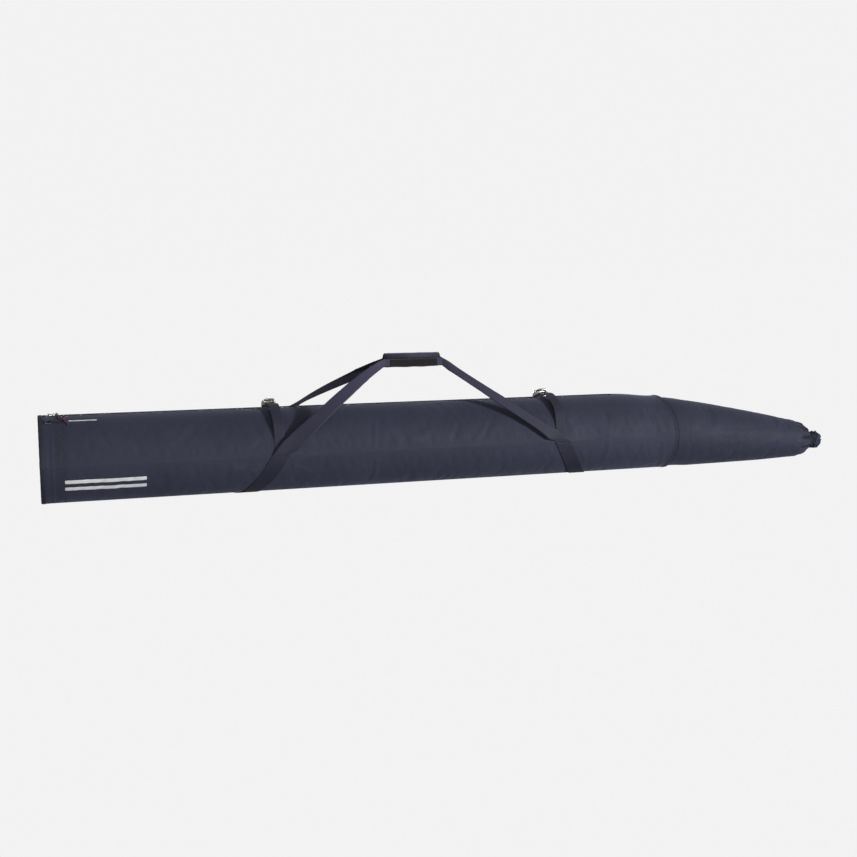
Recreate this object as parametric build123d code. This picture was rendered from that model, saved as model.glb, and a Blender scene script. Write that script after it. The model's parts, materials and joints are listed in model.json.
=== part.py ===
from build123d import *
import math
import os

# Telescoping padded ski bag. Millimetres. +X runs towards the sliding nose, +Z is up,
# and the origin lies on the ground under the middle of the extended bag.

# ---------------------------------------------------------------- driving dimensions
extended_length = 2100.0
body_length = 1600.0
body_radius = 103.0
body_top = 200.0
mouth_top = 191.0
fabric = 1.8
webbing = 1.5
layer_gap = 0.2

wide_webbing = 38.0
narrow_webbing = 25.0
handle_root_left = -514.0
handle_root_right = 207.0
grip_left = -233.0
grip_right = -83.0
strap_positions = {"left": -515.0, "right": 203.0}

zip_start = -1040.0
zip_end = 384.0
slider_x = -1023.0

# ---------------------------------------------------------------- worked-out values
left_end = -extended_length / 2
mouth = left_end + body_length
tip = extended_length / 2
axis_height = body_top - body_radius
flat_height = webbing + layer_gap
belly_sink = body_top - 2 * body_radius
taper_start = 396.0
taper_end = mouth - 20.0
seam_height = axis_height - 1.0
binding_width = 10.0
hem_width = 12.0
edge_cover = 4.0
panel_start = left_end + edge_cover
panel_end = mouth - edge_cover

sleeve_overlap = 62.0
nose_start = mouth - sleeve_overlap
nose_top = 185.5
nose_flat = flat_height + fabric + 0.5
nose_belly = -2.0
nose_fabric = 1.4
neck_x = tip - 50.0
tail_axis = 48.0

slot_half_width = 11.0
tape_inner = 4.6
tape_outer = 24.0
coil_inner = 0.9
coil_low = 195.6
coil_high = 198.4
lug_x = slider_x - 3.0
lug_z = coil_high + 4.6
lug_pin = 0.8
hole_x = lug_x + 18.0
hole_radius = 2.4
cord_radius = 1.6
cord_lift = cord_radius + 1.2

lock_angle = 26.0
lock_eye_x = -1022.0
lock_lift = 2.1

strap_standoff = 9.4
strap_crest = 8.4
buckle_angle = -18.0
buckle_radius = body_radius + 6.5
pin_y = 4.0
pin_z = 7.6
pin_radius = 1.9
wall_inner = 13.3
wall = 1.4
lug_gap = 4.2

front_grip = Vector(0, -9.2, 299.5)
back_grip = Vector(0, 3.8, 301)
leg_offset = 3.1
leg_thickness = 1.7
leg_steps = 18
folded = 18.0
folded_thickness = 3.4
pivot_y = body_radius + leg_offset

# How each leg lies from its root to the grip: how far it leans off the upright at six even
# steps, in degrees, and the stretch (as shares of its length) where it folds in half.
front_left_lie = ((0, 71, 84, 65, 24, 0), 0.47, 0.89)
front_right_lie = ((0, 56, 35, 12, 25, 0), 0.30, 0.64)
back_left_lie = ((0, 39, 77, 59, 45, 0), 0.77, 0.97)
back_right_lie = ((0, 41, 84, 84, 84, 0), 0.55, 0.80)

os.makedirs("parts", exist_ok=True)


def save(name, shape):
    """Write one node as parts/name.step."""
    shape.label = name
    export_step(shape, os.path.join("parts", name + ".step"))


# ---------------------------------------------------------------- geometry helpers
def section(x, top, bottom, flat):
    """A round cross-section at x, resting on a flat: its circle is cut off below z = flat."""
    radius = (top - bottom) / 2
    centre = (top + bottom) / 2
    half = math.sqrt(radius**2 - (centre - flat) ** 2)
    arch = ThreePointArc((x, -half, flat), (x, 0, top), (x, half, flat))
    base = Line((x, half, flat), (x, -half, flat))
    return make_face(Wire([arch, base]))


def tube(stations, grow=0.0):
    """A closed solid through (x, top, bottom, flat) stations, grown outwards by grow."""
    faces = [section(x, t + grow, b - grow, f - grow) for x, t, b, f in stations]
    return loft(faces, ruled=True)


def block(x0, x1, y0, y1, z0, z1):
    """A box between two corners."""
    return Pos((x0 + x1) / 2, (y0 + y1) / 2, (z0 + z1) / 2) * Box(x1 - x0, y1 - y0, z1 - z0)


def around(angle, offset, x=0.0):
    """The point offset above the body's surface, angle degrees from the crest to the front."""
    reach = body_radius + offset
    turn = math.radians(angle)
    return Vector(x, -reach * math.sin(turn), axis_height + reach * math.cos(turn))


def outwards(angle):
    """The unit vector that points straight out of the body at this angle."""
    turn = math.radians(angle)
    return Vector(0, -math.sin(turn), math.cos(turn))


def slab(centre, width, thickness):
    """A rectangle about centre, spanned by two vectors."""
    corners = [
        centre - width / 2 - thickness / 2,
        centre + width / 2 - thickness / 2,
        centre + width / 2 + thickness / 2,
        centre - width / 2 + thickness / 2,
    ]
    return make_face(Polyline(*corners, close=True))


def ribbon(stations):
    """A flat strip through (centre, width vector, thickness vector) stations."""
    return loft([slab(*station) for station in stations], ruled=True)


def smooth(a, b, x):
    """0 up to a, 1 from b on, and a smooth rise in between."""
    t = min(max((x - a) / (b - a), 0.0), 1.0)
    return t * t * (3 - 2 * t)


def between(points, t):
    """A cubic Bezier curve through space at t."""
    a, b, c, d = points
    s = 1 - t
    return a * s**3 + b * (3 * s * s * t) + c * (3 * s * t * t) + d * t**3


# ---------------------------------------------------------------- main body
def body_stations(start, stop):
    """The body's outline: straight, then narrowing a little towards its mouth."""
    mouth_bottom = mouth_top - 2 * (body_radius - (body_top - mouth_top) / 2)
    return [
        (start, body_top, belly_sink, flat_height),
        (taper_start, body_top, belly_sink, flat_height),
        (taper_end, mouth_top, mouth_bottom, flat_height),
        (stop, mouth_top, mouth_bottom, flat_height),
    ]


def make_body_panels():
    """The base panel and the two upper panels, which meet at the side seams and the zip."""
    shell = tube(body_stations(panel_start, panel_end))
    shell -= tube(body_stations(panel_start - 1, panel_end + 1), -fabric)
    reach = 400.0
    below = block(left_end - 1, tip, -reach, reach, -reach, seam_height)
    slot = block(zip_start, zip_end, -slot_half_width, slot_half_width, seam_height, reach)
    upper = shell - below - slot
    save("base_panel", shell & below)
    save("top_front_panel", upper & block(left_end - 1, tip, -reach, 0, 0, reach))
    save("top_back_panel", upper & block(left_end - 1, tip, 0, reach, 0, reach))


def make_end():
    """The flat end panel and the tape that binds it to the body."""
    body = (body_top, belly_sink, flat_height)
    proud = 0.8
    rim = 6.0
    outer = tube([(left_end, *body), (left_end + binding_width, *body)], proud)
    seat = tube([(panel_start - layer_gap, *body), (left_end + binding_width + 1, *body)], 0.1)
    window = tube([(left_end - 1, *body), (panel_start + 1, *body)], -rim)
    save("end_binding", outer - seat - window)
    panel_back = panel_start - layer_gap
    save("end_panel", tube([(panel_back - 2.4, *body), (panel_back, *body)], -rim - 0.1))


def make_mouth_hem():
    """The folded tape round the body's mouth."""
    _, top, bottom, flat = body_stations(0, panel_end)[-1]
    ring = (top, bottom, flat)
    outer = tube([(mouth - hem_width, *ring), (mouth, *ring)], 0.9)
    seat = tube([(mouth - hem_width - 1, *ring), (panel_end + layer_gap, *ring)], 0.1)
    way_through = tube([(mouth - hem_width - 1, *ring), (mouth + 1, *ring)], -fabric)
    save("mouth_hem", outer - seat - way_through)


# ---------------------------------------------------------------- zip
def make_zip_tapes():
    """One tape and one coil on each side of the zip's centre line."""
    tape_top = body_radius - fabric - 0.1
    band = Pos(0, 0, axis_height) * Rot(0, 90, 0) * Cylinder(tape_top, 4 * tip)
    band -= Pos(0, 0, axis_height) * Rot(0, 90, 0) * Cylinder(tape_top - 1.0, 4 * tip)
    for name, side in (("front", -1), ("back", 1)):
        near, far = sorted((side * tape_inner, side * tape_outer))
        save("zip_tape_" + name, band & block(zip_start, zip_end + 11, near, far, axis_height, body_top))
        near, far = sorted((side * coil_inner, side * (tape_inner - 0.1)))
        save("zip_coil_" + name, block(zip_start + 4, zip_end - 6, near, far, coil_low, coil_high))


def make_zip_stops():
    """The metal clips that keep the slider on the zip, one at each end."""
    half = 3.9
    clip = Part()
    for x in (zip_start + 1, zip_end - 5.8):
        clip += block(x, x + 2.8, -half, half, coil_low, coil_high)
    save("zip_stops", clip)


def make_slider():
    """The slider: two plates joined by a thin neck between the coils, and a lug on top."""
    half_length = 10.0
    half_width = 6.2
    x0, x1 = slider_x - half_length, slider_x + half_length
    plate_low, plate_high = coil_high + 0.3, coil_high + 1.9
    body = block(x0, x1, -half_width, half_width, plate_low, plate_high)
    body += block(x0, x1, -half_width + 1.4, half_width - 1.4, coil_low - 1.9, coil_low - 0.3)
    body += block(x0 + 2, x0 + 9, -0.5, 0.5, coil_low - 1, plate_low + 0.5)
    for side in (-1, 1):
        body += Pos(lug_x, side * 3.3, (plate_high + lug_z) / 2) * Box(3.2, 1.2, lug_z - plate_high + 0.2)
        body += Pos(lug_x, side * 3.3, lug_z) * Rot(90, 0, 0) * Cylinder(1.6, 1.2)
    body += Pos(lug_x, 0, lug_z) * Rot(90, 0, 0) * Cylinder(lug_pin, 6.6)
    save("zip_slider", body)


def make_pull_tab():
    """The metal tab that swings on the slider's lug and carries the cord."""
    thick = 1.3
    width = 5.0
    tab = block(lug_x + 1.2, hole_x, -width / 2, width / 2, lug_z - thick / 2, lug_z + thick / 2)
    tab += Pos(lug_x, 0, lug_z) * Rot(90, 0, 0) * Cylinder(lug_pin + 0.75, width)
    tab += Pos(hole_x, 0, lug_z) * Cylinder(hole_radius + 1.9, thick)
    tab -= Pos(lug_x, 0, lug_z) * Rot(90, 0, 0) * Cylinder(lug_pin + 0.08, 2 * width)
    tab -= Pos(hole_x, 0, lug_z) * Cylinder(hole_radius, 3 * thick)
    save("zip_pull_tab", tab)


def puller_route():
    """Points of the puller's cord: tail, crossing, up to the tab, round its eye and back."""
    return [
        around(34, cord_lift, -984),
        around(28.5, cord_lift, -988.5),
        around(23, cord_lift, -993),
        around(17.5, cord_lift, -997.5),
        around(12, cord_lift, -1001),
        Vector(hole_x + 1.5, -14.8, 202.4),
        Vector(hole_x - 0.4, -7.2, 200.6),
        Vector(hole_x, 0.35, 200.4),
        Vector(hole_x, 0.45, 205.7),
        Vector(hole_x - 0.4, -7.5, 205.6),
        Vector(hole_x - 2.5, -15, 204.4),
        around(13.5, cord_lift + 0.6, -1006.5),
        around(19, cord_lift, -1002.5),
        around(23.5, cord_lift + 2.2, -997.5),
        around(23, cord_lift + 4.4, -992),
        around(18, cord_lift + 2.2, -987),
        around(12, cord_lift, -984),
    ]


def make_puller_cord():
    """The cord in the tab's eye: straight runs joined by tangent arcs."""
    points = puller_route()
    radii = []
    for a, b, c in zip(points, points[1:], points[2:]):
        run = min((b - a).length, (c - b).length)
        turn = math.radians((b - a).get_angle(c - b))
        radii.append(0.45 * run / math.tan(turn / 2))
    path = FilletPolyline(*points, radius=radii)
    start = Plane(origin=path @ 0, z_dir=path % 0)
    cord = sweep(start * Circle(cord_radius), path=path)
    print("puller cord: length", round(path.length, 1), "least radius", round(min(radii), 2))
    print("  volume over section times length", cord.volume / (path.length * math.pi * cord_radius**2))
    save("zip_puller_cord", cord)


# ---------------------------------------------------------------- lock loop beside the zip
def on_body(angle, offset, x):
    """A place on the body: local X stays along the bag, local Z points straight out."""
    return Pos(x, 0, axis_height) * Rot(angle, 0, 0) * Pos(0, 0, body_radius + offset)


def make_lock():
    """A webbing tab with a wire ring in its fold, where a small padlock can hook the slider."""
    half = 5.0
    place = on_body(lock_angle, 0, lock_eye_x)
    tab = block(0.5, 24, -half, half, layer_gap, layer_gap + webbing)
    tab += Pos(0, 0, lock_lift) * Rot(90, 0, 0) * Cylinder(1.8, 2 * half)
    tab -= Pos(0, 0, lock_lift) * Rot(90, 0, 0) * Cylinder(0.98, 4 * half)
    save("lock_tab", place * tab)
    wire = 0.9
    reach, span = 12.0, 6.2
    ring = Pos(0, 0, lock_lift) * Rot(90, 0, 0) * Cylinder(wire, 2 * span)
    ring += Pos(-reach, 0, lock_lift) * Rot(90, 0, 0) * Cylinder(wire, 2 * span)
    for side in (-span, span):
        ring += Pos(-reach / 2, side, lock_lift) * Rot(0, 90, 0) * Cylinder(wire, reach)
        ring += Pos(0, side, lock_lift) * Sphere(wire)
        ring += Pos(-reach, side, lock_lift) * Sphere(wire)
    save("lock_ring", place * ring)


# ---------------------------------------------------------------- sewn bands under the bag
def make_bands():
    """Wide webbing sewn round the belly, pressed flat where the bag rests on it.

    Each band carries one end of both handle loops.
    """
    slant = math.tan(math.radians(30))
    span = wide_webbing / math.cos(math.radians(30))
    top_angle = 90.6
    edge_angle = 180 - math.degrees(math.acos((axis_height - flat_height) / body_radius))
    steps = 12
    pressed = 0.3
    for name, root, lean in (("left", handle_root_left, -1), ("right", handle_root_right, 1)):
        stations = []
        for i in range(steps):
            angle = top_angle + (edge_angle - 1.5 - top_angle) * i / (steps - 1)
            run = math.radians(angle - top_angle) * body_radius
            inner = around(angle, layer_gap, root + lean * slant * run)
            stations.append((inner, outwards(angle), webbing))
        last = stations[-1][0]
        corner = Vector(last.X + lean * slant * 3, last.Y + 2.6, flat_height - layer_gap)
        tilt = Vector(0, -math.sin(math.radians(10)), -math.cos(math.radians(10)))
        middle = Vector(corner.X - lean * slant * corner.Y, 0, flat_height - layer_gap)
        stations.append((corner, tilt, webbing + pressed))
        stations.append((middle, Vector(0, 0, -1), webbing + pressed))
        back = [(Vector(p.X, -p.Y, p.Z), Vector(0, -n.Y, n.Z), t) for p, n, t in stations[-2::-1]]
        strip = [(p + n * t / 2, Vector(span, 0, 0), n * t) for p, n, t in stations + back]
        save("band_" + name, ribbon(strip) - block(left_end, tip, -60, 60, -9, 0))


# ---------------------------------------------------------------- compression straps
def strap_strip(x, profile):
    """Narrow webbing round the body through (angle, height of its underside) pairs."""
    width = Vector(narrow_webbing, 0, 0)
    return ribbon(
        [(around(a, h + webbing / 2, x), width, outwards(a) * webbing) for a, h in profile]
    )


def make_straps():
    """Over each end of the handle: a front piece with its free tail, and a back piece."""
    flat_bit = 9.0
    buckle_edge = buckle_radius / math.cos(math.radians(flat_bit)) - body_radius
    plate_under = buckle_radius - 3.3
    for name, x in strap_positions.items():
        front = []
        for angle in range(88, 7, -5):
            rise = strap_standoff * smooth(72, 42, angle)
            front.append((angle, layer_gap + rise))
        front.append((0, strap_crest))
        front.append((buckle_angle + flat_bit, buckle_edge))
        front.append((buckle_angle - flat_bit, buckle_edge))
        front.append((-35.5, 5.0))
        front.append((-44, 2.3))
        front += [(angle, 2.1) for angle in (-50, -56)]
        save("strap_" + name + "_front", strap_strip(x, front))
        back = [(angle, layer_gap) for angle in range(-88, -42, 5)]
        back.append((-34.5, 2.0))
        back.append((-27, plate_under / math.cos(math.radians(9)) - body_radius))
        back.append((-12, plate_under / math.cos(math.radians(6)) - body_radius))
        save("strap_" + name + "_back", strap_strip(x, back))


# ---------------------------------------------------------------- cam buckles
def buckle_frame():
    """A bent channel: a base plate under the strap and two ears that hold the pin."""
    half_length = 17.0
    width = wall_inner + wall
    plate = block(-width, width, -half_length, half_length, -1.6, -0.2)
    ear_outline = Polyline(
        (-half_length, -1.6),
        (half_length, -1.6),
        (half_length, 2.8),
        (pin_y + 5.0, 11.0),
        (pin_y - 5.0, 11.0),
        (-half_length, 2.8),
        close=True,
    )
    ear = extrude(Plane.YZ * make_face(ear_outline), wall)
    frame = plate + Pos(wall_inner, 0, 0) * ear + Pos(-width, 0, 0) * ear
    bore = Pos(0, pin_y, pin_z) * Rot(0, 90, 0) * Cylinder(pin_radius + 0.1, 4 * width)
    return frame - bore


def buckle_lever():
    """The cam that bites the strap, with its thumb plate."""
    half = wall_inner - 0.5
    cam = Pos(0, pin_y, pin_z) * Rot(0, 90, 0) * Cylinder(5.3, 2 * half)
    plate = block(-half, half, -19, pin_y, pin_z + 1.6, pin_z + 3.4)
    lip = block(-half + 3, half - 3, -21, -19, pin_z + 1.6, pin_z + 4.6)
    lever = cam + plate + lip
    lever -= Pos(0, pin_y, pin_z) * Rot(0, 90, 0) * Cylinder(pin_radius + 0.08, 4 * half)
    lever -= block(-lug_gap, lug_gap, pin_y - 4.2, pin_y + 9, pin_z - 9, pin_z + 9)
    return lever


def make_buckles():
    """A steel cam buckle on each compression strap, just behind the crest."""
    pin = Pos(0, pin_y, pin_z) * Rot(0, 90, 0) * Cylinder(pin_radius, 2 * (wall_inner + wall) + 1)
    sleeve = Pos(0, pin_y, pin_z) * Rot(0, 90, 0) * Cylinder(3.3, 2 * lug_gap - 0.8)
    spring = sleeve - Pos(0, pin_y, pin_z) * Rot(0, 90, 0) * Cylinder(pin_radius + 0.3, 99)
    for name, x in strap_positions.items():
        place = on_body(buckle_angle, buckle_radius - body_radius, x)
        save("buckle_" + name + "_frame", place * buckle_frame())
        save("buckle_" + name + "_lever", place * buckle_lever())
        save("buckle_" + name + "_pin", place * pin)
        save("buckle_" + name + "_spring", place * spring)


# ---------------------------------------------------------------- carry handle
def evenly(values, t):
    """The value at t of a line drawn through evenly spaced values."""
    place = t * (len(values) - 1)
    i = min(int(place), len(values) - 2)
    return values[i] + (values[i + 1] - values[i]) * (place - i)


def leg_stations(curve, lie, side, mirror):
    """Stations of one leg from its sewn root (t = 0) to the grip (t = 1)."""
    leans, fold_from, fold_to = lie
    stations = []
    for i in range(leg_steps + 1):
        t = i / leg_steps
        centre = between(curve, t)
        ahead = between(curve, min(t + 0.01, 1.0))
        behind = between(curve, max(t - 0.01, 0.0))
        direction = (ahead - behind).normalized()
        lean = math.radians(evenly(leans, t))
        face = Vector(0, side * math.cos(lean), math.sin(lean))
        across = direction.cross(face).normalized()
        across = across if across.Z > 0 else across * -1
        level = Vector(-mirror, 0, 0)
        blend = smooth(0.0, 0.16, t)
        upright = smooth(0.84, 1.0, t)
        across = (level * (1 - blend) + across * blend).normalized()
        across = (across * (1 - upright) + Vector(0, 0, upright)).normalized()
        normal = (face - across * face.dot(across)).normalized()
        fold = smooth(fold_from, fold_to, t)
        width = (wide_webbing + 3.0 * (1 - blend)) * (1 - fold) + folded * fold
        depth = leg_thickness * (1 - fold) + folded_thickness * fold
        stations.append((centre, across * width, normal * depth))
    return stations


def make_handle():
    """Two webbing loops that meet in one grip. Each is two legs and the folded stretch between."""
    root_z = axis_height + 0.5
    front_left = [
        Vector(handle_root_left, -pivot_y, root_z),
        Vector(-452, -136, 166),
        Vector(-286, -41, 287),
        Vector(grip_left, front_grip.Y, front_grip.Z),
    ]
    front_right = [
        Vector(handle_root_right, -pivot_y, root_z),
        Vector(112, -133, 159),
        Vector(-36, -33, 263),
        Vector(grip_right, front_grip.Y, front_grip.Z),
    ]
    back_left = [
        Vector(handle_root_left, pivot_y, root_z),
        Vector(-502, 121, 188),
        Vector(-305, 48, 255),
        Vector(grip_left, back_grip.Y, back_grip.Z),
    ]
    back_right = [
        Vector(handle_root_right, pivot_y, root_z),
        Vector(169, 119, 157),
        Vector(0, 49, 254),
        Vector(grip_right, back_grip.Y, back_grip.Z),
    ]
    front = leg_stations(front_left, front_left_lie, -1, 1)
    front += leg_stations(front_right, front_right_lie, -1, -1)[::-1]
    save("handle_front_webbing", ribbon(front))
    back = leg_stations(back_left, back_left_lie, 1, 1)
    back += leg_stations(back_right, back_right_lie, 1, -1)[::-1]
    save("handle_back_webbing", ribbon(back))


def ring_sector(inner, outer, start, stop, x0, x1, centre_z):
    """Part of a tube along X, between two angles measured from the top to the front."""
    steps = 16
    outline = []
    for reach, first, last in ((outer, start, stop), (inner, stop, start)):
        for i in range(steps + 1):
            turn = math.radians(first + (last - first) * i / steps)
            outline.append((-reach * math.sin(turn), centre_z + reach * math.cos(turn)))
    face = make_face(Polyline(*outline, close=True))
    return Pos(x0, 0, 0) * extrude(Plane.YZ * face, x1 - x0)


def make_grip():
    """The padded wrap, open at the front and below, its core and the hook patch."""
    margin = 2.0
    wrap_left, wrap_right = grip_left + margin, grip_right - margin
    wrap_z = 305.0
    save("grip_wrap", ring_sector(14.6, 18.0, -172, 68, wrap_left, wrap_right, wrap_z))
    core = Pos((wrap_left + wrap_right) / 2 + 3, -0.8, wrap_z + 9.0) * Rot(0, 90, 0)
    save("grip_core", core * Cylinder(4.6, wrap_right - wrap_left + 4))
    patch_inset = 14.0
    front_face = front_grip.Y - folded_thickness / 2
    patch = block(
        grip_left + patch_inset,
        grip_right - patch_inset,
        front_face - 1.3,
        front_face - 0.1,
        front_grip.Z - folded / 2 + 0.5,
        front_grip.Z + folded / 2 - 1.5,
    )
    save("grip_hook_patch", patch)


# ---------------------------------------------------------------- sliding nose
def nose_stations(start):
    """The nose's outline: a straight sleeve, a long cone and a rounded, gathered end."""
    gather_x = tip - 100.0
    return [
        (start, nose_top, nose_belly, nose_flat),
        (mouth + 2, nose_top, nose_belly, nose_flat),
        (gather_x, 108.0, nose_belly, nose_flat),
        (tip - 75.0, 100.0, 7.0, 11.0),
        (tip - 60.0, 90.0, 15.0, 19.0),
        (neck_x, 76.0, 21.0, 25.0),
    ]


def make_nose():
    """The nose's fabric shell, the elastic stop on its inner end, and its tied tip."""
    outer = tube(nose_stations(nose_start))
    hollow = nose_stations(nose_start - 1)
    x, top, bottom, flat = hollow[-1]
    hollow[-1] = (x - nose_fabric, top, bottom, flat)
    save("nose_shell", outer - tube(hollow, -nose_fabric))
    ring = (nose_top, nose_belly, nose_flat)
    stop_band = tube([(nose_start, *ring), (nose_start + 14, *ring)], 1.9)
    stop_band -= tube([(nose_start - 1, *ring), (nose_start + 15, *ring)], 0.1)
    save("nose_stop_band", stop_band - block(left_end, tip, -150, 150, -9, 9))


def make_tip():
    """The bunched tail of fabric past the neck, and the cord tied round the neck."""
    neck_radius = 17.0
    tail = Spline(
        (neck_x + 7, neck_radius),
        (neck_x + 15, 23.5),
        (neck_x + 28, 25.5),
        (neck_x + 42, 18.0),
        (tip, 0),
        tangents=((1, 0.6), (0, -1)),
    )
    outline = Polyline((tip, 0), (neck_x + 0.1, 0), (neck_x + 0.1, neck_radius), (neck_x + 7, neck_radius))
    knob = revolve(Plane.XY * make_face(Wire([*outline.edges(), tail])), Axis.X)
    save("nose_tail", Pos(0, 0, tail_axis) * knob)
    cord = 1.7
    loop = Torus(neck_radius + cord + 0.1, cord)
    save("nose_tie_cord", Pos(neck_x + 4, 0, tail_axis) * Rot(0, 90, 0) * loop)


# ---------------------------------------------------------------- reflective trim
def reflective_strip(x0, x1, angle, height):
    """A thin strip along the bag, height wide round the body."""
    half = math.degrees(height / 2 / body_radius)
    steps = 4
    stations = []
    for i in range(steps + 1):
        a = angle - half + 2 * half * i / steps
        length = Vector(x1 - x0, 0, 0)
        stations.append((around(a, 0.35, (x0 + x1) / 2), length, outwards(a) * 0.4))
    return ribbon(stations)


def make_trim():
    """Plain reflective strips: a pair low on the front, and a dash beside the zip."""
    pair = Part() + [reflective_strip(-998, -820, angle, 9) for angle in (110.5, 121)]
    save("side_stripes", pair)
    save("zip_dash", reflective_strip(-984, -922, 24, 5))


make_body_panels()
make_end()
make_mouth_hem()
make_zip_tapes()
make_zip_stops()
make_slider()
make_pull_tab()
make_puller_cord()
make_lock()
make_bands()
make_straps()
make_buckles()
make_handle()
make_grip()
make_nose()
make_tip()
make_trim()
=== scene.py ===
import json
import math
from contextlib import contextmanager

import bmesh
import bpy
import numpy as np
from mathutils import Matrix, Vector

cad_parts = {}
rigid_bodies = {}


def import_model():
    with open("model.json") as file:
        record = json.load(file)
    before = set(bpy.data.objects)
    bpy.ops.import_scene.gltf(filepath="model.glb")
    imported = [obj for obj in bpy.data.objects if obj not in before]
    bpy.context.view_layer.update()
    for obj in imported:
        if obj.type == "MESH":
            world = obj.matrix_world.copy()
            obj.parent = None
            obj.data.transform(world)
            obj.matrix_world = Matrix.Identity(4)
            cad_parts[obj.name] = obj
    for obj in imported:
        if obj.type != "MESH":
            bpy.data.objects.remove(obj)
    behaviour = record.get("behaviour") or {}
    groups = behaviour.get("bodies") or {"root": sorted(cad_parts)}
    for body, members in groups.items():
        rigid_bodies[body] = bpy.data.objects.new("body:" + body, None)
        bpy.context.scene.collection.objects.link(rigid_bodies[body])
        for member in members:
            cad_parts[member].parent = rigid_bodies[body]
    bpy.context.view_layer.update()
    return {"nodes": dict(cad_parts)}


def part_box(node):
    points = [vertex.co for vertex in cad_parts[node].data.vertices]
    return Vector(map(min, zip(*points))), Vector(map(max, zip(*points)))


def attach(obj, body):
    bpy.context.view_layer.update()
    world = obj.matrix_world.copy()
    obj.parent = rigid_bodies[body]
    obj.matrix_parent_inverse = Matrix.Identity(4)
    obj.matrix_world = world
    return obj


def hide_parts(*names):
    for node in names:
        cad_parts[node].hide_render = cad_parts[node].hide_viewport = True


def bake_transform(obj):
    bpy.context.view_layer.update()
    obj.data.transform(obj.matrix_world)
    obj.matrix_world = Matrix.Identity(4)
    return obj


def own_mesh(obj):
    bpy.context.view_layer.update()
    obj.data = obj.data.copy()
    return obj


# The looks of a telescoping padded ski bag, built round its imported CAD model. Metres.
# +X runs towards the sliding nose and +Z is up. An angle phi goes round the bag from the crest
# (0) to the front, which faces -Y (90 degrees), and on under the belly to the back.

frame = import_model()
rng = np.random.default_rng(7)

mm = 0.001
tau = 2 * math.pi
deg = math.pi / 180

# ------------------------------------------------------------------ sizes read off the frame
panel_lo, panel_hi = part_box("top_front_panel")
tape_lo, tape_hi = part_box("zip_tape_front")
shell_lo, shell_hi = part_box("nose_shell")
tail_lo, tail_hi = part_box("nose_tail")
knot_lo, knot_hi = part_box("nose_tie_cord")
wrap_lo, wrap_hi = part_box("grip_wrap")
core_lo, core_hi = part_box("grip_core")
patch_lo, patch_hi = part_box("grip_hook_patch")

radius = -panel_lo.y
body_top = panel_hi.z
axis_z = body_top - radius
floor_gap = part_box("base_panel")[0].z
belly = body_top - 2 * radius
panel_start, panel_end = panel_lo.x, panel_hi.x
left_end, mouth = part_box("end_binding")[0].x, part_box("mouth_hem")[1].x
taper_start, taper_end = mouth - 154 * mm, mouth - 20 * mm
mouth_drop = 9 * mm
seam = 90.56 * deg
fabric = 1.8 * mm
web_width = 38 * mm
band_angle = 30 * deg
slider_stop_x = 0.393
slot = 11 * mm
zip_start, zip_end = tape_lo.x, tape_hi.x - slot
strap_x = {
    s: (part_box(f"strap_{s}_front")[0].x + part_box(f"strap_{s}_front")[1].x) / 2 for s in ("left", "right")
}
root_x = {
    "left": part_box("handle_front_webbing")[0].x + 20.5 * mm,
    "right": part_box("handle_front_webbing")[1].x - 20.5 * mm,
}
grip_x = (wrap_lo.x - 2 * mm, wrap_hi.x + 2 * mm)


def clamp(x):
    return np.clip(x, 0, 1)


def smooth(a, b, x):
    """0 up to a, 1 from b on, and a smooth rise in between, for numbers and arrays."""
    t = clamp((np.asarray(x, float) - a) / (b - a))
    return t * t * (3 - 2 * t)


def fade(a, b, x):
    """1 up to a and 0 from b on."""
    return 1 - smooth(a, b, x)


def to_edge(x, lo, hi):
    """Distance to the nearer of two edges."""
    return np.minimum(x - lo, hi - x)


def bell(off, width):
    """A round bump, 1 where off is 0 and gone at about twice its width."""
    return np.exp(-((off / width) ** 2))


def points(*parts):
    """Points, or maps, from grids of their coordinates."""
    return np.stack(np.broadcast_arrays(*parts), -1)


def mesh(rows, cols):
    return np.meshgrid(rows, cols, indexing="ij")


def circle(count):
    """Angles right round, with the first one again at the end."""
    return np.linspace(0, tau, count)


def off_crest(phi):
    """Angle from the crest, whichever way round."""
    return np.minimum(np.abs(phi), tau - np.abs(phi))


def unit(v):
    """Vectors of length 1, along the last axis."""
    v = np.asarray(v, float)
    return v / np.maximum(np.linalg.norm(v, axis=-1, keepdims=True), 1e-12)


# ------------------------------------------------------------------ smooth random fields
def waves(seed, count, low, high, stretch=1.0):
    """Random plane waves whose lengths lie between low and high; stretch lengthens them in X."""
    r = np.random.default_rng(seed)
    length = low * (high / low) ** r.random(count)
    turn = r.random(count) * tau
    k = tau / length
    kx = k * np.cos(turn) / stretch
    ks = np.round(k * np.sin(turn) * radius) / radius
    return kx, ks, r.random(count) * tau, (length / high) ** 0.8


def field(x, s, spec):
    """Value of a random field at x and at the distance s round the bag. About -1 to 1."""
    x, s = np.broadcast_arrays(np.asarray(x, float), np.asarray(s, float))
    out = np.zeros(x.shape)
    for kx, ks, p, a in zip(*spec):
        out += a * np.cos(kx * x + ks * s + p)
    return out / math.sqrt((spec[3] ** 2).sum() / 2) / 2


# ------------------------------------------------------------------ mesh building
@contextmanager
def editing(mesh):
    """A bmesh of the mesh, written back at the end."""
    bm = bmesh.new()
    bm.from_mesh(mesh)
    yield bm
    bm.to_mesh(mesh)
    bm.free()


def link(obj):
    bpy.context.scene.collection.objects.link(obj)
    return obj


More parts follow.
